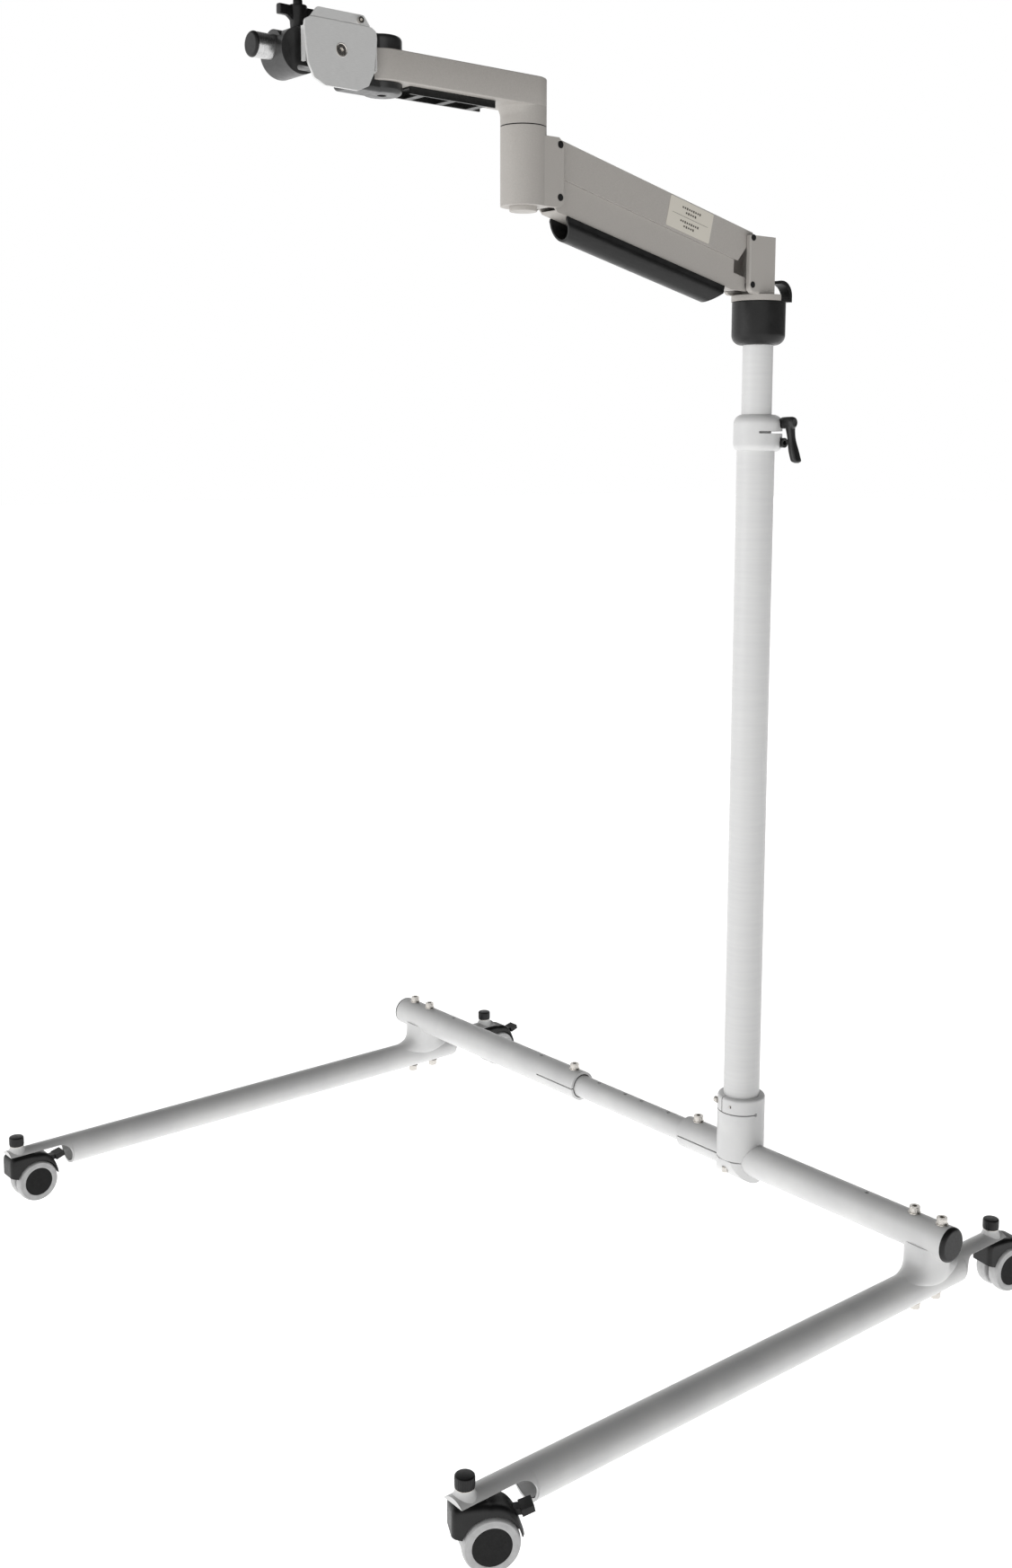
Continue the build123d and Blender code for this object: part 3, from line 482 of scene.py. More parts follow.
# ------------------------------------------------------------------ settings
class StandLook(bpy.types.PropertyGroup):
    """Sizes and colours of the stand that a user may change."""

    base_low: bpy.props.StringProperty(
        name="Base coat, dark", description="Darker shade of the base's powder coat, as sRGB hex",
        default="#CDCDCD")
    base_high: bpy.props.StringProperty(
        name="Base coat, light", description="Lighter shade of the base's powder coat, as sRGB hex",
        default="#D6D6D5")
    arm_low: bpy.props.StringProperty(
        name="Arm coat, dark", description="Darker shade of the arm's textured coat, as sRGB hex",
        default="#A29E99")
    arm_high: bpy.props.StringProperty(
        name="Arm coat, light", description="Lighter shade of the arm's textured coat, as sRGB hex",
        default="#B0ACA7")
    knob_ribs: bpy.props.IntProperty(
        name="Knob ribs", description="Grip ribs round each caster stem knob",
        default=30, min=12, max=48)
    tread_crown: bpy.props.FloatProperty(
        name="Tread crown", description="How far the tread's middle stands above its shoulders",
        default=3.2 * MM, min=1 * MM, max=5 * MM, subtype="DISTANCE", unit="LENGTH")
    floor_half: bpy.props.FloatProperty(
        name="Floor half width", description="Half the side of the studio floor",
        default=30.0, min=4.0, max=100.0, subtype="DISTANCE", unit="LENGTH")


# ------------------------------------------------------------------ operators
class STAND_OT_finishes(bpy.types.Operator):
    """Makes every finish and lays it on the parts that carry it"""

    bl_idname = "stand.finishes"
    bl_label = "Finishes"

    def execute(self, context):
        for make in FINISHES:
            make()
        for name, nodes in NODE_FINISH.items():
            for node in nodes:
                piece = frame["nodes"][node]
                piece.data.materials.clear()
                piece.data.materials.append(finish(name))
        return {"FINISHED"}


class STAND_OT_legs(bpy.types.Operator):
    """Adds the leg tubes, cut away under both ends to a thin cap over the caster"""

    bl_idname = "stand.legs"
    bl_label = "Legs"

    wall = 3.0
    cap_low = 75.0
    overhang = 15.0
    end_edge = 0.6
    cut_start = 60.0
    cut_round = 18.0
    drop = 1.0
    tube_run = 40.0
    steps = 72

    def cut_profile(self, tube_low):
        """Distances in from the stem, and the height of the cut at each, from end to tube.

        The cut is level under the cap, falls as a quarter circle, and drops to the tube's foot.
        """
        sweep = np.linspace(0, math.pi / 2, 9)
        lip = self.cut_start + self.cut_round
        level = np.array((-self.overhang, -self.overhang + self.end_edge, 0.0, self.cut_start / 2))
        reach = np.concatenate((level, self.cut_start + self.cut_round * np.sin(sweep),
                                (lip + self.drop / 2, lip + self.drop, lip + self.tube_run)))
        fall = self.cap_low - self.cut_round * (1 - np.cos(sweep))
        cut = np.concatenate((np.full(len(level), self.cap_low), fall,
                              ((fall[-1] + tube_low) / 2, tube_low, tube_low)))
        return reach, cut

    def execute(self, context):
        """Each station along the leg is a ring cut off below a height, and walked round once.

        The outer arc is x = R sin(a t), z = R cos(a t) with t from -1 to 1 and cos a the cut's
        height over R. The way back is the bore's arc, or under the cap a straight chord.
        """
        t = np.linspace(-1, 1, self.steps)
        for side, body in SIDES.items():
            low, high = (np.array(corner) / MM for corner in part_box(f"leg_{side}"))
            centre = (low + high) / 2
            radius = (high[0] - low[0]) / 2
            bore = radius - self.wall
            reach, cut = self.cut_profile(low[2])
            front = pivot(f"caster_f{side[0]}_turn")[1] / MM + reach
            rear = pivot(f"caster_r{side[0]}_turn")[1] / MM - reach
            y = np.concatenate((front, rear[::-1]))[:, None]
            level = np.concatenate((cut, cut[::-1]))[:, None] - centre[2]
            capped = reach <= self.cut_start
            capped = np.concatenate((capped, capped[::-1]))[:, None]
            outer = np.arccos(np.clip(level / radius, -1, 1)) * t
            inner = -np.arccos(np.clip(level / bore, -1, 1)) * t
            back_x = np.where(capped, -radius * np.sin(outer[:, -1:]) * t, bore * np.sin(inner))
            back_z = np.where(capped, level, bore * np.cos(inner))
            x = np.concatenate((radius * np.sin(outer), back_x), axis=1)
            z = np.concatenate((radius * np.cos(outer), back_z), axis=1)
            points = np.stack((centre[0] + x, np.broadcast_to(y, x.shape), centre[2] + z),
                              axis=-1)
            add_piece(f"leg_tube_{side}", closed_grid(points * MM), finish("white_powder_coat"),
                      body, (f"leg_{side}",))
        return {"FINISHED"}


class STAND_OT_hoods(bpy.types.Operator):
    """Adds the rounded hoods over the casters' wheels"""

    bl_idname = "stand.hoods"
    bl_label = "Caster hoods"

    arch = 31.2
    half = 16.5
    back_wall = 40.0
    roof = 43.4
    fender = 34.3
    swell = 9.0
    shoulder = 5.5
    skin_share = 0.55
    sweep = (161, 10)
    web_half = 3.0
    web_root = 1.5
    axle_r = 4.0
    spacer_r = 8.0
    spacer_foot = 44.0
    seat = 74.8

    def outer_radius(self, theta):
        """Distance from the wheel's centre to the hood's skin, the soft least of three walls.

        The back wall is upright and the roof level. The fender's radius grows with the cube
        of the sine, and far enough backward to leave the back wall as the least.
        """
        rising = np.clip(np.sin(theta), 0.05, 1)
        backward = np.clip(-np.cos(theta), 0, 1)
        back = self.back_wall / np.maximum(backward, 0.2)
        roof = self.roof / rising
        fender = self.fender + self.swell * rising ** 3 + self.back_wall * backward
        return (back ** -16.0 + roof ** -16.0 + fender ** -16.0) ** (-1 / 16)

    def execute(self, context):
        """The skin goes round the wheel by an angle, and is drawn in at both sides.

        The radius falls there as a quarter circle does, by no more than a share of the wall.
        A web between the wheels joins the hood to the axle, and a spacer meets the leg.
        """
        theta = np.radians(np.linspace(*self.sweep, 61))
        across = np.sin(np.linspace(-math.pi / 2, math.pi / 2, 25)) * self.half
        edge = np.clip((np.abs(across) - self.half + self.shoulder) / self.shoulder, 0, 1)
        inset = self.shoulder * (1 - np.sqrt(1 - edge ** 2))
        skin = self.outer_radius(theta)
        outer = skin - np.minimum(inset[:, None], self.skin_share * (skin - self.arch))
        arch = np.full_like(outer, self.arch)
        web = np.ones((2, len(theta)))
        spacer = ((self.spacer_r, self.spacer_foot), (self.spacer_r, self.seat),
                  (0.01, self.seat))
        for code in CASTERS:
            wheel, stem = pivot(f"caster_{code}_roll"), pivot(f"caster_{code}_turn")
            side = heading(f"caster_{code}_roll")
            trail = (wheel - stem) * (1, 1, 0)
            trail /= np.linalg.norm(trail)
            shapes = (self.wall(wheel, trail, side, theta, across, outer, arch),
                      self.wall(wheel, trail, side, theta, self.web_half * np.array((-1, 1)),
                                (self.arch + self.web_root) * web, self.axle_r * web),
                      turned(spacer, (stem[0], stem[1], 0.0), (0, 0, 1), 48))
            add_piece(f"caster_{code}_cowl", joined(shapes), finish("black_polyamide"),
                      f"caster_{code}_swivel", (f"caster_{code}_hood",))
        return {"FINISHED"}

    def wall(self, wheel, trail, side, theta, across, outer, inner):
        """A closed wall between two radii, a section round the wheel for each place across.

        Point = wheel + r cos(theta) * trail + r sin(theta) * up + n * side, out along the
        outer radius and back along the inner one. Strips of quads close its two sides.
        """
        radius = np.concatenate((outer, inner[:, ::-1]), axis=1) * MM
        turn = np.concatenate((theta, theta[::-1]))
        points = (wheel + (radius * np.cos(turn))[..., None] * trail
                  + (radius * np.sin(turn))[..., None] * np.array((0.0, 0.0, 1.0))
                  + (across * MM)[:, None, None] * side)
        rows, around = radius.shape
        i = np.arange(len(theta) - 1)
        strip = np.stack((i, i + 1, around - 2 - i, around - 1 - i), axis=1)
        last = (rows - 1) * around
        sides = np.concatenate((strip, last + strip[:, ::-1]))
        return points.reshape(-1, 3), grid_faces(rows, around).tolist() + sides.tolist()


class STAND_OT_treads(bpy.types.Operator):
    """Adds the crowned twin treads of each caster"""

    bl_idname = "stand.treads"
    bl_label = "Caster treads"

    inner = 3.4
    outer = 18.6
    bore = 20.4
    radius = 30.0

    def execute(self, context):
        crown = stand().tread_crown / MM
        middle_n = (self.inner + self.outer) / 2
        half = (self.outer - self.inner) / 2
        sweep = np.linspace(-math.pi / 2, math.pi / 2, 21)
        rim = np.stack((self.radius - crown + crown * np.cos(sweep) ** 0.8,
                        middle_n + half * np.sin(sweep)), axis=1)
        lip = np.array(((self.bore + 1.2, self.outer), (self.bore + 0.2, self.outer - 0.2),
                        (self.bore, self.outer - 0.8), (self.bore, self.inner),
                        (self.bore + 0.6, self.inner)))
        bulge = np.array(((26.4, self.outer - 0.3), (24.2, self.outer + 0.1)))
        flank = np.array(((24.0, self.inner), (26.2, self.inner)))
        profile = np.concatenate((flank, rim[1:-1], bulge, lip))
        for code in CASTERS:
            joint = f"caster_{code}_roll"
            axis = heading(joint)
            wheels = [turned(profile, pivot(joint), way * axis, 96, ring=True)
                      for way in (1, -1)]
            add_piece(f"caster_{code}_tyres", joined(wheels), finish("thermoplastic_tread"),
                      f"caster_{code}_wheels", (f"caster_{code}_treads",))
        return {"FINISHED"}


class STAND_OT_stem_knobs(bpy.types.Operator):
    """Adds the caster stems' flared necks, bright washers and ribbed knobs"""

    bl_idname = "stand.stem_knobs"
    bl_label = "Stem knobs"

    radius = 10.5
    lift = 6.5
    top = 19.5
    neck_top = 9.6
    neck_side = 3.8
    neck_along = 5.2
    neck_foot = -5.0
    neck_power = 1.6
    neck_clear = 0.8

    def execute(self, context):
        """The neck's section is an ellipse that narrows as a power of the height left."""
        up = np.array((0.0, 0.0, 1.0))
        r, lift, top = self.radius, self.lift, self.top
        rise = np.linspace(0, 1, 13)[:, None]
        turn = np.linspace(0, 2 * math.pi, 64, endpoint=False)
        spread = (1 - rise) ** self.neck_power
        neck_x = (self.neck_top + self.neck_side * spread) * np.cos(turn)
        neck_y = (self.neck_top + self.neck_along * spread) * np.sin(turn)
        neck_z = self.neck_foot + (lift - self.neck_clear - self.neck_foot) * rise[:, 0]
        washer = ((r - 1.2, lift - 0.9), (r - 0.3, lift - 0.8), (r - 0.2, lift - 0.4),
                  (r - 0.3, lift), (r - 1.2, lift + 0.1))
        knob = ((r - 1.4, lift), (r - 0.4, lift + 0.6), (r, lift + 1.5), (r, top - 2.4),
                (r - 0.2, top - 1.1), (r - 0.8, top - 0.3), (r - 1.7, top), (0.01, top))
        for side, body in SIDES.items():
            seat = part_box(f"leg_{side}")[1][2]
            necks, knobs, washers = [], [], []
            for code in CASTERS:
                if code[1] != side[0]:
                    continue
                stem = pivot(f"caster_{code}_turn").copy()
                stem[2] = seat
                necks.append(stacked(stem[0] / MM + neck_x, stem[1] / MM + neck_y,
                                     stem[2] / MM + neck_z))
                knobs.append(turned(knob, stem, up, 180, stand().knob_ribs, 0.4, (2, 4)))
                washers.append(turned(washer, stem, up, 64, ring=True))
            add_piece(f"stem_necks_{side}", joined(necks), finish("white_powder_coat"), body)
            add_piece(f"stem_grips_{side}", joined(knobs), finish("black_polyamide"), body,
                      (f"stem_knobs_{side}",))
            add_piece(f"stem_washers_{side}", joined(washers), finish("turned_steel"), body)
        return {"FINISHED"}


class STAND_OT_screw_knurls(bpy.types.Operator):
    """Adds the knurled bands of the cap screw heads"""

    bl_idname = "stand.screw_knurls"
    bl_label = "Screw knurls"

    bolt_reach = 21.0
    mouth_reach = {"right": 22.0, "left": -18.0}
    head = 6.5
    band = (2.2, 8.2)

    def execute(self, context):
        low, high = self.band
        r = self.head
        profile = ((r - 0.6, low - 0.3), (r + 0.35, low), (r + 0.35, high), (r - 0.6, high + 0.4))
        for side, body in SIDES.items():
            leg = middle(f"leg_{side}")
            tube_low, tube_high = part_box(f"cross_tube_{side}")
            mouth = tube_low[0] if side == "right" else tube_high[0]
            bolt = self.bolt_reach * MM
            tube_y = (tube_low[1] + tube_high[1]) / 2
            leg_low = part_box(f"leg_{side}")[0][2]
            seats = [((leg[0] - bolt, tube_y, tube_high[2]), 1),
                     ((leg[0] + bolt, tube_y, tube_high[2]), 1),
                     ((leg[0], tube_y - bolt, leg_low), -1),
                     ((leg[0], tube_y + bolt, leg_low), -1),
                     ((mouth + self.mouth_reach[side] * MM, tube_y, tube_high[2]), 1)]
            bands = [turned(profile, place, (0, 0, way), 144, 24, 0.35, (1, 3), ring=True)
                     for place, way in seats]
            add_piece(f"screw_knurls_{side}", joined(bands), finish("turned_steel"), body)
        return {"FINISHED"}


class STAND_OT_saddles(bpy.types.Operator):
    """Adds the cast saddles, flared into the legs"""

    bl_idname = "stand.saddles"
    bl_label = "Leg saddles"

    half_x = 28.0
    half_y = 23.0
    foot_y = 66.0
    foot_x = 20.6
    top = 112.0
    foot_power = 1.6
    rise_power = 1.15
    squareness = (2.9, 2.2)

    def execute(self, context):
        """Height runs from the foot, v = 0, to the top, v = 1, and t once round.

        x = a(v) cos t and y = b(v) sin t on a superellipse whose half width a grows and
        whose half length b shrinks as a quarter circle does, so the foot sweeps out along
        the leg. The foot's rim lies on the leg's own round top.
        """
        steps, rows = 120, 41
        turn = np.linspace(0, 2 * math.pi, steps, endpoint=False)
        v = np.linspace(0, 1, rows)[:, None]
        sweep = (1 - np.sqrt(np.clip(1 - (1 - v) ** 2, 0, 1)))
        half_x = self.half_x + (self.foot_x - self.half_x) * sweep
        half_y = self.half_y + (self.foot_y - self.half_y) * sweep ** self.foot_power
        square_top, square_foot = self.squareness
        power = 2 / (square_top + (square_foot - square_top) * sweep)
        x = half_x * np.sign(np.cos(turn)) * np.abs(np.cos(turn)) ** power
        y = half_y * np.sign(np.sin(turn)) * np.abs(np.sin(turn)) ** power
        for side, body in SIDES.items():
            leg = middle(f"leg_{side}")
            tube = middle(f"cross_tube_{side}")
            radius = (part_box(f"leg_{side}")[1][0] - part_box(f"leg_{side}")[0][0]) / 2 / MM
            rim = leg[2] / MM + np.sqrt(np.clip(radius ** 2 - x[:1] ** 2, 4.0, None)) - 1.0
            z = rim + (self.top - rim) * v ** self.rise_power
            points = np.stack((leg[0] + x * MM, tube[1] + y * MM, z * MM), axis=-1)
            add_piece(f"cast_saddle_{side}", closed_grid(points), finish("white_powder_coat"),
                      body, (f"saddle_{side}",))
        return {"FINISHED"}


class STAND_OT_lever(bpy.types.Operator):
    """Adds the mast's clamping lever"""

    bl_idname = "stand.lever"
    bl_label = "Clamp lever"

    def execute(self, context):
        """A turned hub along the screw, and a handle whose oval section follows an arc."""
        centre = pivot("clamp_lever_turn")
        centre = np.array((middle("column_tube")[0], centre[1], centre[2]))
        out = np.array((1.0, 0.0, 0.0))
        hub = turned(((5.2, 17.4), (7.0, 17.6), (7.6, 19), (7.9, 26), (8.0, 35), (7.2, 38),
                      (5.2, 39.6), (4.4, 39.8), (4.2, 38.8), (0.01, 38.8)), centre, out, 72)
        nut = turned(((4.0, -23.3), (6.2, -23.3), (6.5, -22.6), (6.5, -17.8), (6.2, -17.3),
                      (4.0, -17.3)), centre, out, 6)
        s = np.linspace(0, 1, 33)
        path = centre + MM * np.stack((31 + 5 * s + 8.5 * s ** 2, 0 * s, 3 - 55.5 * s), axis=1)
        swell = 1 - 0.22 * np.sin(math.pi * np.clip(s * 1.25, 0, 1)) ** 2
        ends = np.sqrt(np.clip(1 - np.clip((s - 0.93) / 0.075, 0, 1) ** 2, 0.05, 1))
        begin = np.sqrt(np.clip(1 - np.clip((0.1 - s) / 0.11, 0, 1) ** 2, 0.05, 1))
        width = 5.6 * MM * swell * ends * begin
        depth = 7.3 * MM * swell * ends * begin
        handle = carried(path, (1, 0, 0), (0, 1, 0), width, depth, 2.8, 48)
        add_piece("lever_handle", joined((hub, nut, handle)), finish("black_e_coat"), "lever",
                  ("clamp_lever",))
        return {"FINISHED"}


class STAND_OT_forearm(bpy.types.Operator):
    """Adds the forearm bar, its neck flared into the bar, and the seal of the elbow"""

    bl_idname = "stand.forearm"
    bl_label = "Forearm"

    bar_height = 32.0
    edge = 1.2
    flare = 11.0
    flare_height = 12.0

    def execute(self, context):
        """The bar is a slot's outline stacked upward, drawn in at the edges by a quarter circle.

        The neck's section is an ellipse as wide as the bar, x = r cos t and y = -q sin t on
        its front half, where q grows from r as a quarter circle up to the bar's underside.
        """
        low, high = (np.array(corner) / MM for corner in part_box("forearm"))
        radius = (high[0] - low[0]) / 2
        elbow = pivot("forearm_swivel") / MM
        wrist = pivot("head_swivel") / MM
        steps = 128
        turn = np.linspace(0, 2 * math.pi, steps, endpoint=False)
        round_edge = np.linspace(0, math.pi / 2, 5)
        inset = np.concatenate((self.edge * (1 - np.sin(round_edge)),
                                self.edge * (1 - np.cos(round_edge))))
        foot = high[2] - self.bar_height
        height = np.concatenate((foot + self.edge * (1 - np.cos(round_edge)),
                                 high[2] - self.edge * (1 - np.sin(round_edge))))
        reach = np.where(np.sin(turn) > 0, elbow[1], wrist[1])
        reach[0] = elbow[1]
        bar = stacked(elbow[0] + (radius - inset)[:, None] * np.cos(turn),
                      reach + (radius - inset)[:, None] * np.sin(turn), height)
        v = np.linspace(0, 1, 17)
        grow = self.flare * (1 - np.sqrt(1 - v ** 2 * 0.98))
        z = np.concatenate(((low[2],), foot + 0.5 - self.flare_height * (1 - v)))
        front = radius + np.concatenate(((0.0,), grow))[:, None]
        depth = np.where(np.sin(turn) > 0, radius, front)
        neck = stacked(elbow[0] + np.repeat(radius * np.cos(turn)[None], len(z), axis=0),
                       elbow[1] + depth * np.sin(turn), z)
        add_piece("forearm_bar", joined((bar, neck)), finish("textured_grey_coat"), "forearm",
                  ("forearm",))
        seam = pivot("forearm_swivel").copy()
        seam[2] = low[2] * MM
        seal = turned(((radius - 4, -1.2), (radius - 0.7, -1.2), (radius - 0.5, -0.6),
                       (radius - 0.7, 0.1), (radius - 4, 0.1)), seam, (0, 0, 1), 96, ring=True)
        add_piece("elbow_seal", seal, finish("black_polyamide"), "elbow")
        return {"FINISHED"}


class STAND_OT_wing_knob(bpy.types.Operator):
    """Adds the winged clamping knob over the holder tube"""

    bl_idname = "stand.wing_knob"
    bl_label = "Wing knob"

    def execute(self, context):
        """A turned boss, and wings whose section height falls off as a squared cosine."""
        centre = pivot("wing_knob_turn").copy()
        centre[2] = middle("holder_tube")[2]
        up = np.array((0.0, 0.0, 1.0))
        boss = turned(((3, 12.9), (3, 19.8), (7.2, 19.8), (7.7, 20.5), (8.6, 31), (9.3, 41),
                       (9.5, 44), (9.1, 45), (4.9, 45.1), (4.8, 50.2), (4.2, 51), (0.01, 51)),
                      centre, up, 72)
        s = np.linspace(-1, 1, 49)
        reach = 24 * s
        root = np.clip(1 - np.abs(s) / 0.62, 0, 1)
        low = 34 - 10 * np.sin(root * math.pi / 2) ** 2
        high = np.full_like(s, 44.0)
        tip = np.sqrt(np.clip(1 - np.clip((np.abs(s) - 0.94) / 0.065, 0, 1) ** 2, 0.1, 1))
        path = centre + MM * np.stack((0 * s, reach, (low + high) / 2), axis=1)
        wings = carried(path, (1, 0, 0), (0, 0, 1), 4.2 * MM * tip * (1 - 0.12 * root),
                        (high - low) / 2 * MM * (0.9 + 0.1 * tip), 5.0, 56)
        add_piece("winged_knob", joined((boss, wings)), finish("black_polyamide"), "knob",
                  ("wing_knob",))
        return {"FINISHED"}


class STAND_OT_plate_trim(bpy.types.Operator):
    """Adds the plate's toothed edge and the bright seat of its centre screw"""

    bl_idname = "stand.plate_trim"
    bl_label = "Plate trim"

    tooth = 1.6
    tooth_depth = 0.7

    def execute(self, context):
        """The edge is a strip carried upward, its outer side rippled once each tooth."""
        low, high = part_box("quick_plate")
        tube = middle("holder_tube")
        plate_y = (low[1] + high[1]) / 2
        face = high[0]
        z = np.linspace(tube[2] - 15 * MM, tube[2] + 17 * MM, 241)
        ripple = self.tooth_depth * MM * np.abs(np.sin(math.pi * (z - z[0]) / (self.tooth * MM)))
        path = np.stack((np.full_like(z, face - 2.6 * MM), high[1] - 1.0 * MM + ripple / 2, z),
                        axis=1)
        edge = carried(path, (1, 0, 0), (0, 1, 0), np.full_like(z, 2.2 * MM),
                       0.6 * MM + ripple / 2, 6.0, 20)
        add_piece("plate_toothed_edge", edge, finish("brushed_plate_coat"), "plate")
        centre = np.array((face, plate_y, tube[2]))
        ring = turned(((6.9, -0.6), (6.9, 0.25), (6.5, 0.45), (6.1, 0.3), (5.3, -0.9), (5.3, -1.2)),
                      centre, (1, 0, 0), 72, ring=True)
        add_piece("plate_screw_seat", ring, finish("turned_steel"), "plate")
        return {"FINISHED"}


class STAND_OT_label_print(bpy.types.Operator):
    """Adds the load label's divider and its rows of plain strokes"""

    bl_idname = "stand.label_print"
    bl_label = "Label print"

    rows = ((10.5, 34, 9), (5.2, 20, 5), (-6.0, 34, 9), (-11.3, 20, 5))

    def execute(self, context):
        """Each stroke is a thin bar on the label's face; a row is evenly spaced strokes."""
        rear, front = pivot("arm_lift"), pivot("elbow_level")
        along = (front - rear) / np.linalg.norm(front - rear)
        out = np.array((1.0, 0.0, 0.0))
        above = np.cross(along, out)
        above *= np.sign(above[2])
        low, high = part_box("label_plate")
        centre = (np.array(low) + np.array(high)) / 2
        centre[0] = high[0]
        bars = []
        for height, length, strokes in self.rows:
            pitch = length / strokes
            for index in range(strokes):
                middle_s = (index + 0.5) * pitch - length / 2
                bars.append((middle_s, height, pitch * 0.34, 1.1 if index % 3 else 1.5))
        bars.append((0, 0, 32, 0.22))
        shapes = []
        for s, h, half_s, half_h in bars:
            path = centre + along * s * MM + above * h * MM + np.outer((-0.02, 0.06), out) * MM
            shapes.append(carried(path, along, above, np.full(2, half_s * MM),
                                  np.full(2, half_h * MM), 8.0, 16))
        add_piece("label_strokes", joined(shapes), finish("screen_ink"), "upper_link")
        return {"FINISHED"}


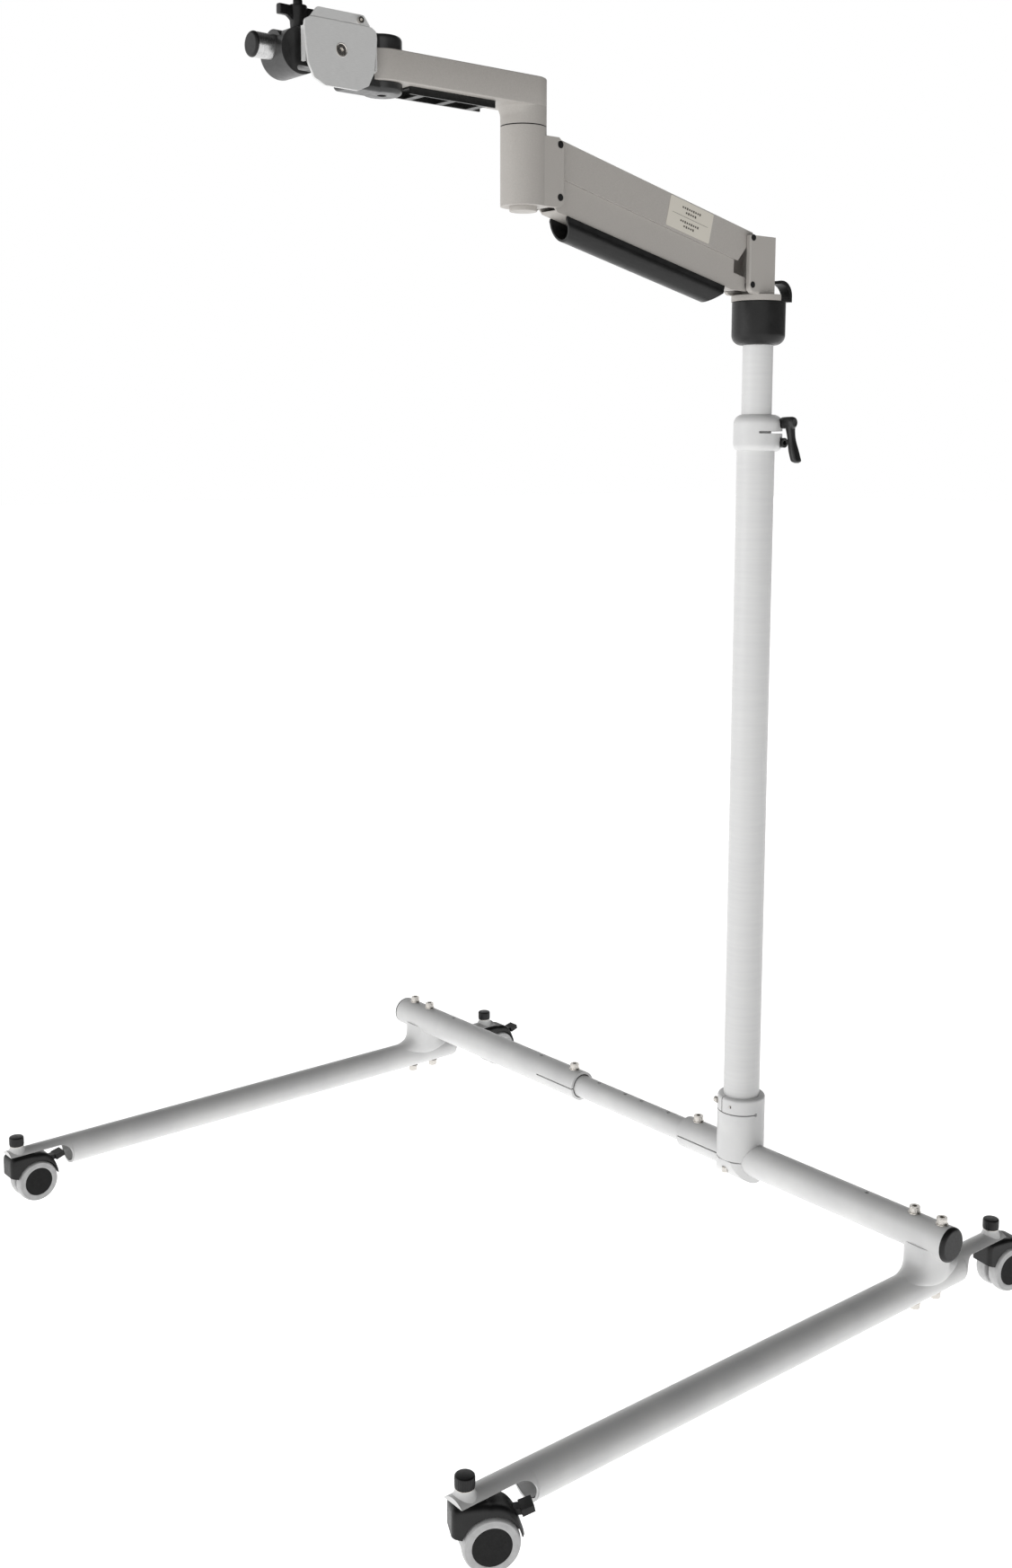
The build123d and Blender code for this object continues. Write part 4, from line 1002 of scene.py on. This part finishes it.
class STAND_OT_studio(bpy.types.Operator):
    """Adds the pale floor, the soft lights and the camera"""

    bl_idname = "stand.studio"
    bl_label = "Studio"

    camera_offset = (1.5357, -1.6744)
    camera_height = 1.0992
    azimuth = 49.87
    pitch = 8.54
    roll = 0.18
    lens = 38.70
    shift = (-0.0186, -0.0514)
    floor_glow = 1.15
    sky_fade = (0.3, 0.75)
    sky_low = 0.1
    aside_fade = (0.31, 0.7)
    aside_low = 0.06

    def execute(self, context):
        scene = context.scene
        self.add_floor(scene)
        self.add_sky(scene)
        self.add_lights(scene)
        self.add_camera(scene)
        scene.view_settings.view_transform = "Standard"
        return {"FINISHED"}

    def add_floor(self, scene):
        """A flat pale floor that gives back more light than falls on it."""
        half = stand().floor_half
        mesh = bpy.data.meshes.new("studio_floor")
        mesh.from_pydata([(-half, -half, 0), (half, -half, 0), (half, half, 0), (-half, half, 0)],
                         [], [(0, 1, 2, 3)])
        floor = bpy.data.objects.new("studio_floor", mesh)
        scene.collection.objects.link(floor)
        material, tree, shader, place = start_material("pale_floor", 0.0, 0.9, 1.45, specular=0.0)
        tint(tree, shader, grain(tree, place, 400, 0, 1), "#B4B4B4", "#B8B8B8")
        shader.inputs["Emission Color"].default_value = (1, 1, 1, 1)
        shader.inputs["Emission Strength"].default_value = self.floor_glow
        mesh.materials.append(material)

    def add_sky(self, scene):
        """White round the horizon, falling to grey overhead and towards the column's side."""
        world = bpy.data.worlds.new("studio_sky")
        world.use_nodes = True
        tree = world.node_tree
        back = tree.nodes["Background"]
        way = add_node(tree, "ShaderNodeTexCoord").outputs["Generated"]
        height = add_node(tree, "ShaderNodeSeparateXYZ", inputs={0: way}).outputs[2]
        level = add_node(tree, "ShaderNodeMapRange", {"interpolation_type": "SMOOTHSTEP"},
                         {"Value": height, "From Min": self.sky_fade[0],
                          "From Max": self.sky_fade[1], "To Min": 1.0, "To Max": self.sky_low})
        az = math.radians(self.azimuth)
        aside = add_node(tree, "ShaderNodeVectorMath", {"operation": "DOT_PRODUCT"},
                         {0: way, 1: (math.cos(az), math.sin(az), 0)}).outputs["Value"]
        dim = add_node(tree, "ShaderNodeMapRange", {"interpolation_type": "SMOOTHSTEP"},
                       {"Value": aside, "From Min": self.aside_fade[0],
                        "From Max": self.aside_fade[1], "To Min": 1.0, "To Max": self.aside_low})
        both = add_node(tree, "ShaderNodeMath", {"operation": "MULTIPLY"},
                        {0: level.outputs[0], 1: dim.outputs[0]})
        tree.links.new(both.outputs[0], back.inputs["Color"])
        scene.world = world

    def add_lights(self, scene):
        """A large soft key to the camera's left, and a smaller fill behind it."""
        column = Vector(middle("column_tube"))
        for name, offset, size, power, colour in (
                ("key_softbox", (-1.2, -3.4, 0.6), 2.4, 20, "#FFFFFF"),
                ("low_fill", (2.6, -2.6, -0.2), 1.8, 2, "#FFFDFA")):
            data = bpy.data.lights.new(name, "AREA")
            data.size = size
            data.energy = power
            data.color = shade(colour)[:3]
            lamp = bpy.data.objects.new(name, data)
            lamp.location = column + Vector(offset)
            lamp.rotation_euler = (column - lamp.location).to_track_quat("-Z", "Y").to_euler()
            scene.collection.objects.link(lamp)

    def add_camera(self, scene):
        """Looks along azimuth and pitch, with its roll, from its place by the column."""
        az, pitch = math.radians(self.azimuth), math.radians(self.pitch)
        ahead = Vector((-math.sin(az) * math.cos(pitch), math.cos(az) * math.cos(pitch),
                        -math.sin(pitch)))
        right = ahead.cross(Vector((0, 0, 1))).normalized()
        over = right.cross(ahead)
        turn = Matrix((right, over, -ahead)).transposed()
        turn = turn @ Matrix.Rotation(math.radians(self.roll), 3, "Z")
        column = middle("column_tube")
        data = bpy.data.cameras.new("camera")
        data.lens = self.lens
        data.sensor_fit = "VERTICAL"
        data.sensor_height = 36.0
        data.shift_x, data.shift_y = self.shift
        data.clip_end = 200
        camera = bpy.data.objects.new("camera", data)
        camera.matrix_world = turn.to_4x4()
        camera.location = (column[0] + self.camera_offset[0], column[1] + self.camera_offset[1],
                           self.camera_height)
        scene.collection.objects.link(camera)
        scene.camera = camera


PIECES = (STAND_OT_finishes, STAND_OT_legs, STAND_OT_hoods, STAND_OT_treads,
          STAND_OT_stem_knobs, STAND_OT_screw_knurls, STAND_OT_saddles, STAND_OT_lever,
          STAND_OT_forearm, STAND_OT_wing_knob, STAND_OT_plate_trim, STAND_OT_label_print,
          STAND_OT_studio)


class STAND_PT_panel(bpy.types.Panel):
    """Lists the stand's operators and settings"""

    bl_idname = "STAND_PT_panel"
    bl_label = "Mobile Stand"
    bl_space_type = "VIEW_3D"
    bl_region_type = "UI"
    bl_category = "Stand"

    def draw(self, context):
        for piece in PIECES:
            self.layout.operator(piece.bl_idname)
        for name in StandLook.__annotations__:
            self.layout.prop(context.scene.stand_look, name)


CLASSES = (StandLook, *PIECES, STAND_PT_panel)


def register():
    """Registers the classes and the scene's settings."""
    for item in CLASSES:
        bpy.utils.register_class(item)
    bpy.types.Scene.stand_look = bpy.props.PointerProperty(type=StandLook)


def unregister():
    """Removes the settings and the classes."""
    del bpy.types.Scene.stand_look
    for item in reversed(CLASSES):
        bpy.utils.unregister_class(item)


def main():
    """Builds the stand's look in order."""
    register()
    for piece in PIECES:
        group, action = piece.bl_idname.split(".")
        getattr(getattr(bpy.ops, group), action)()


if __name__ == "__main__":
    main()
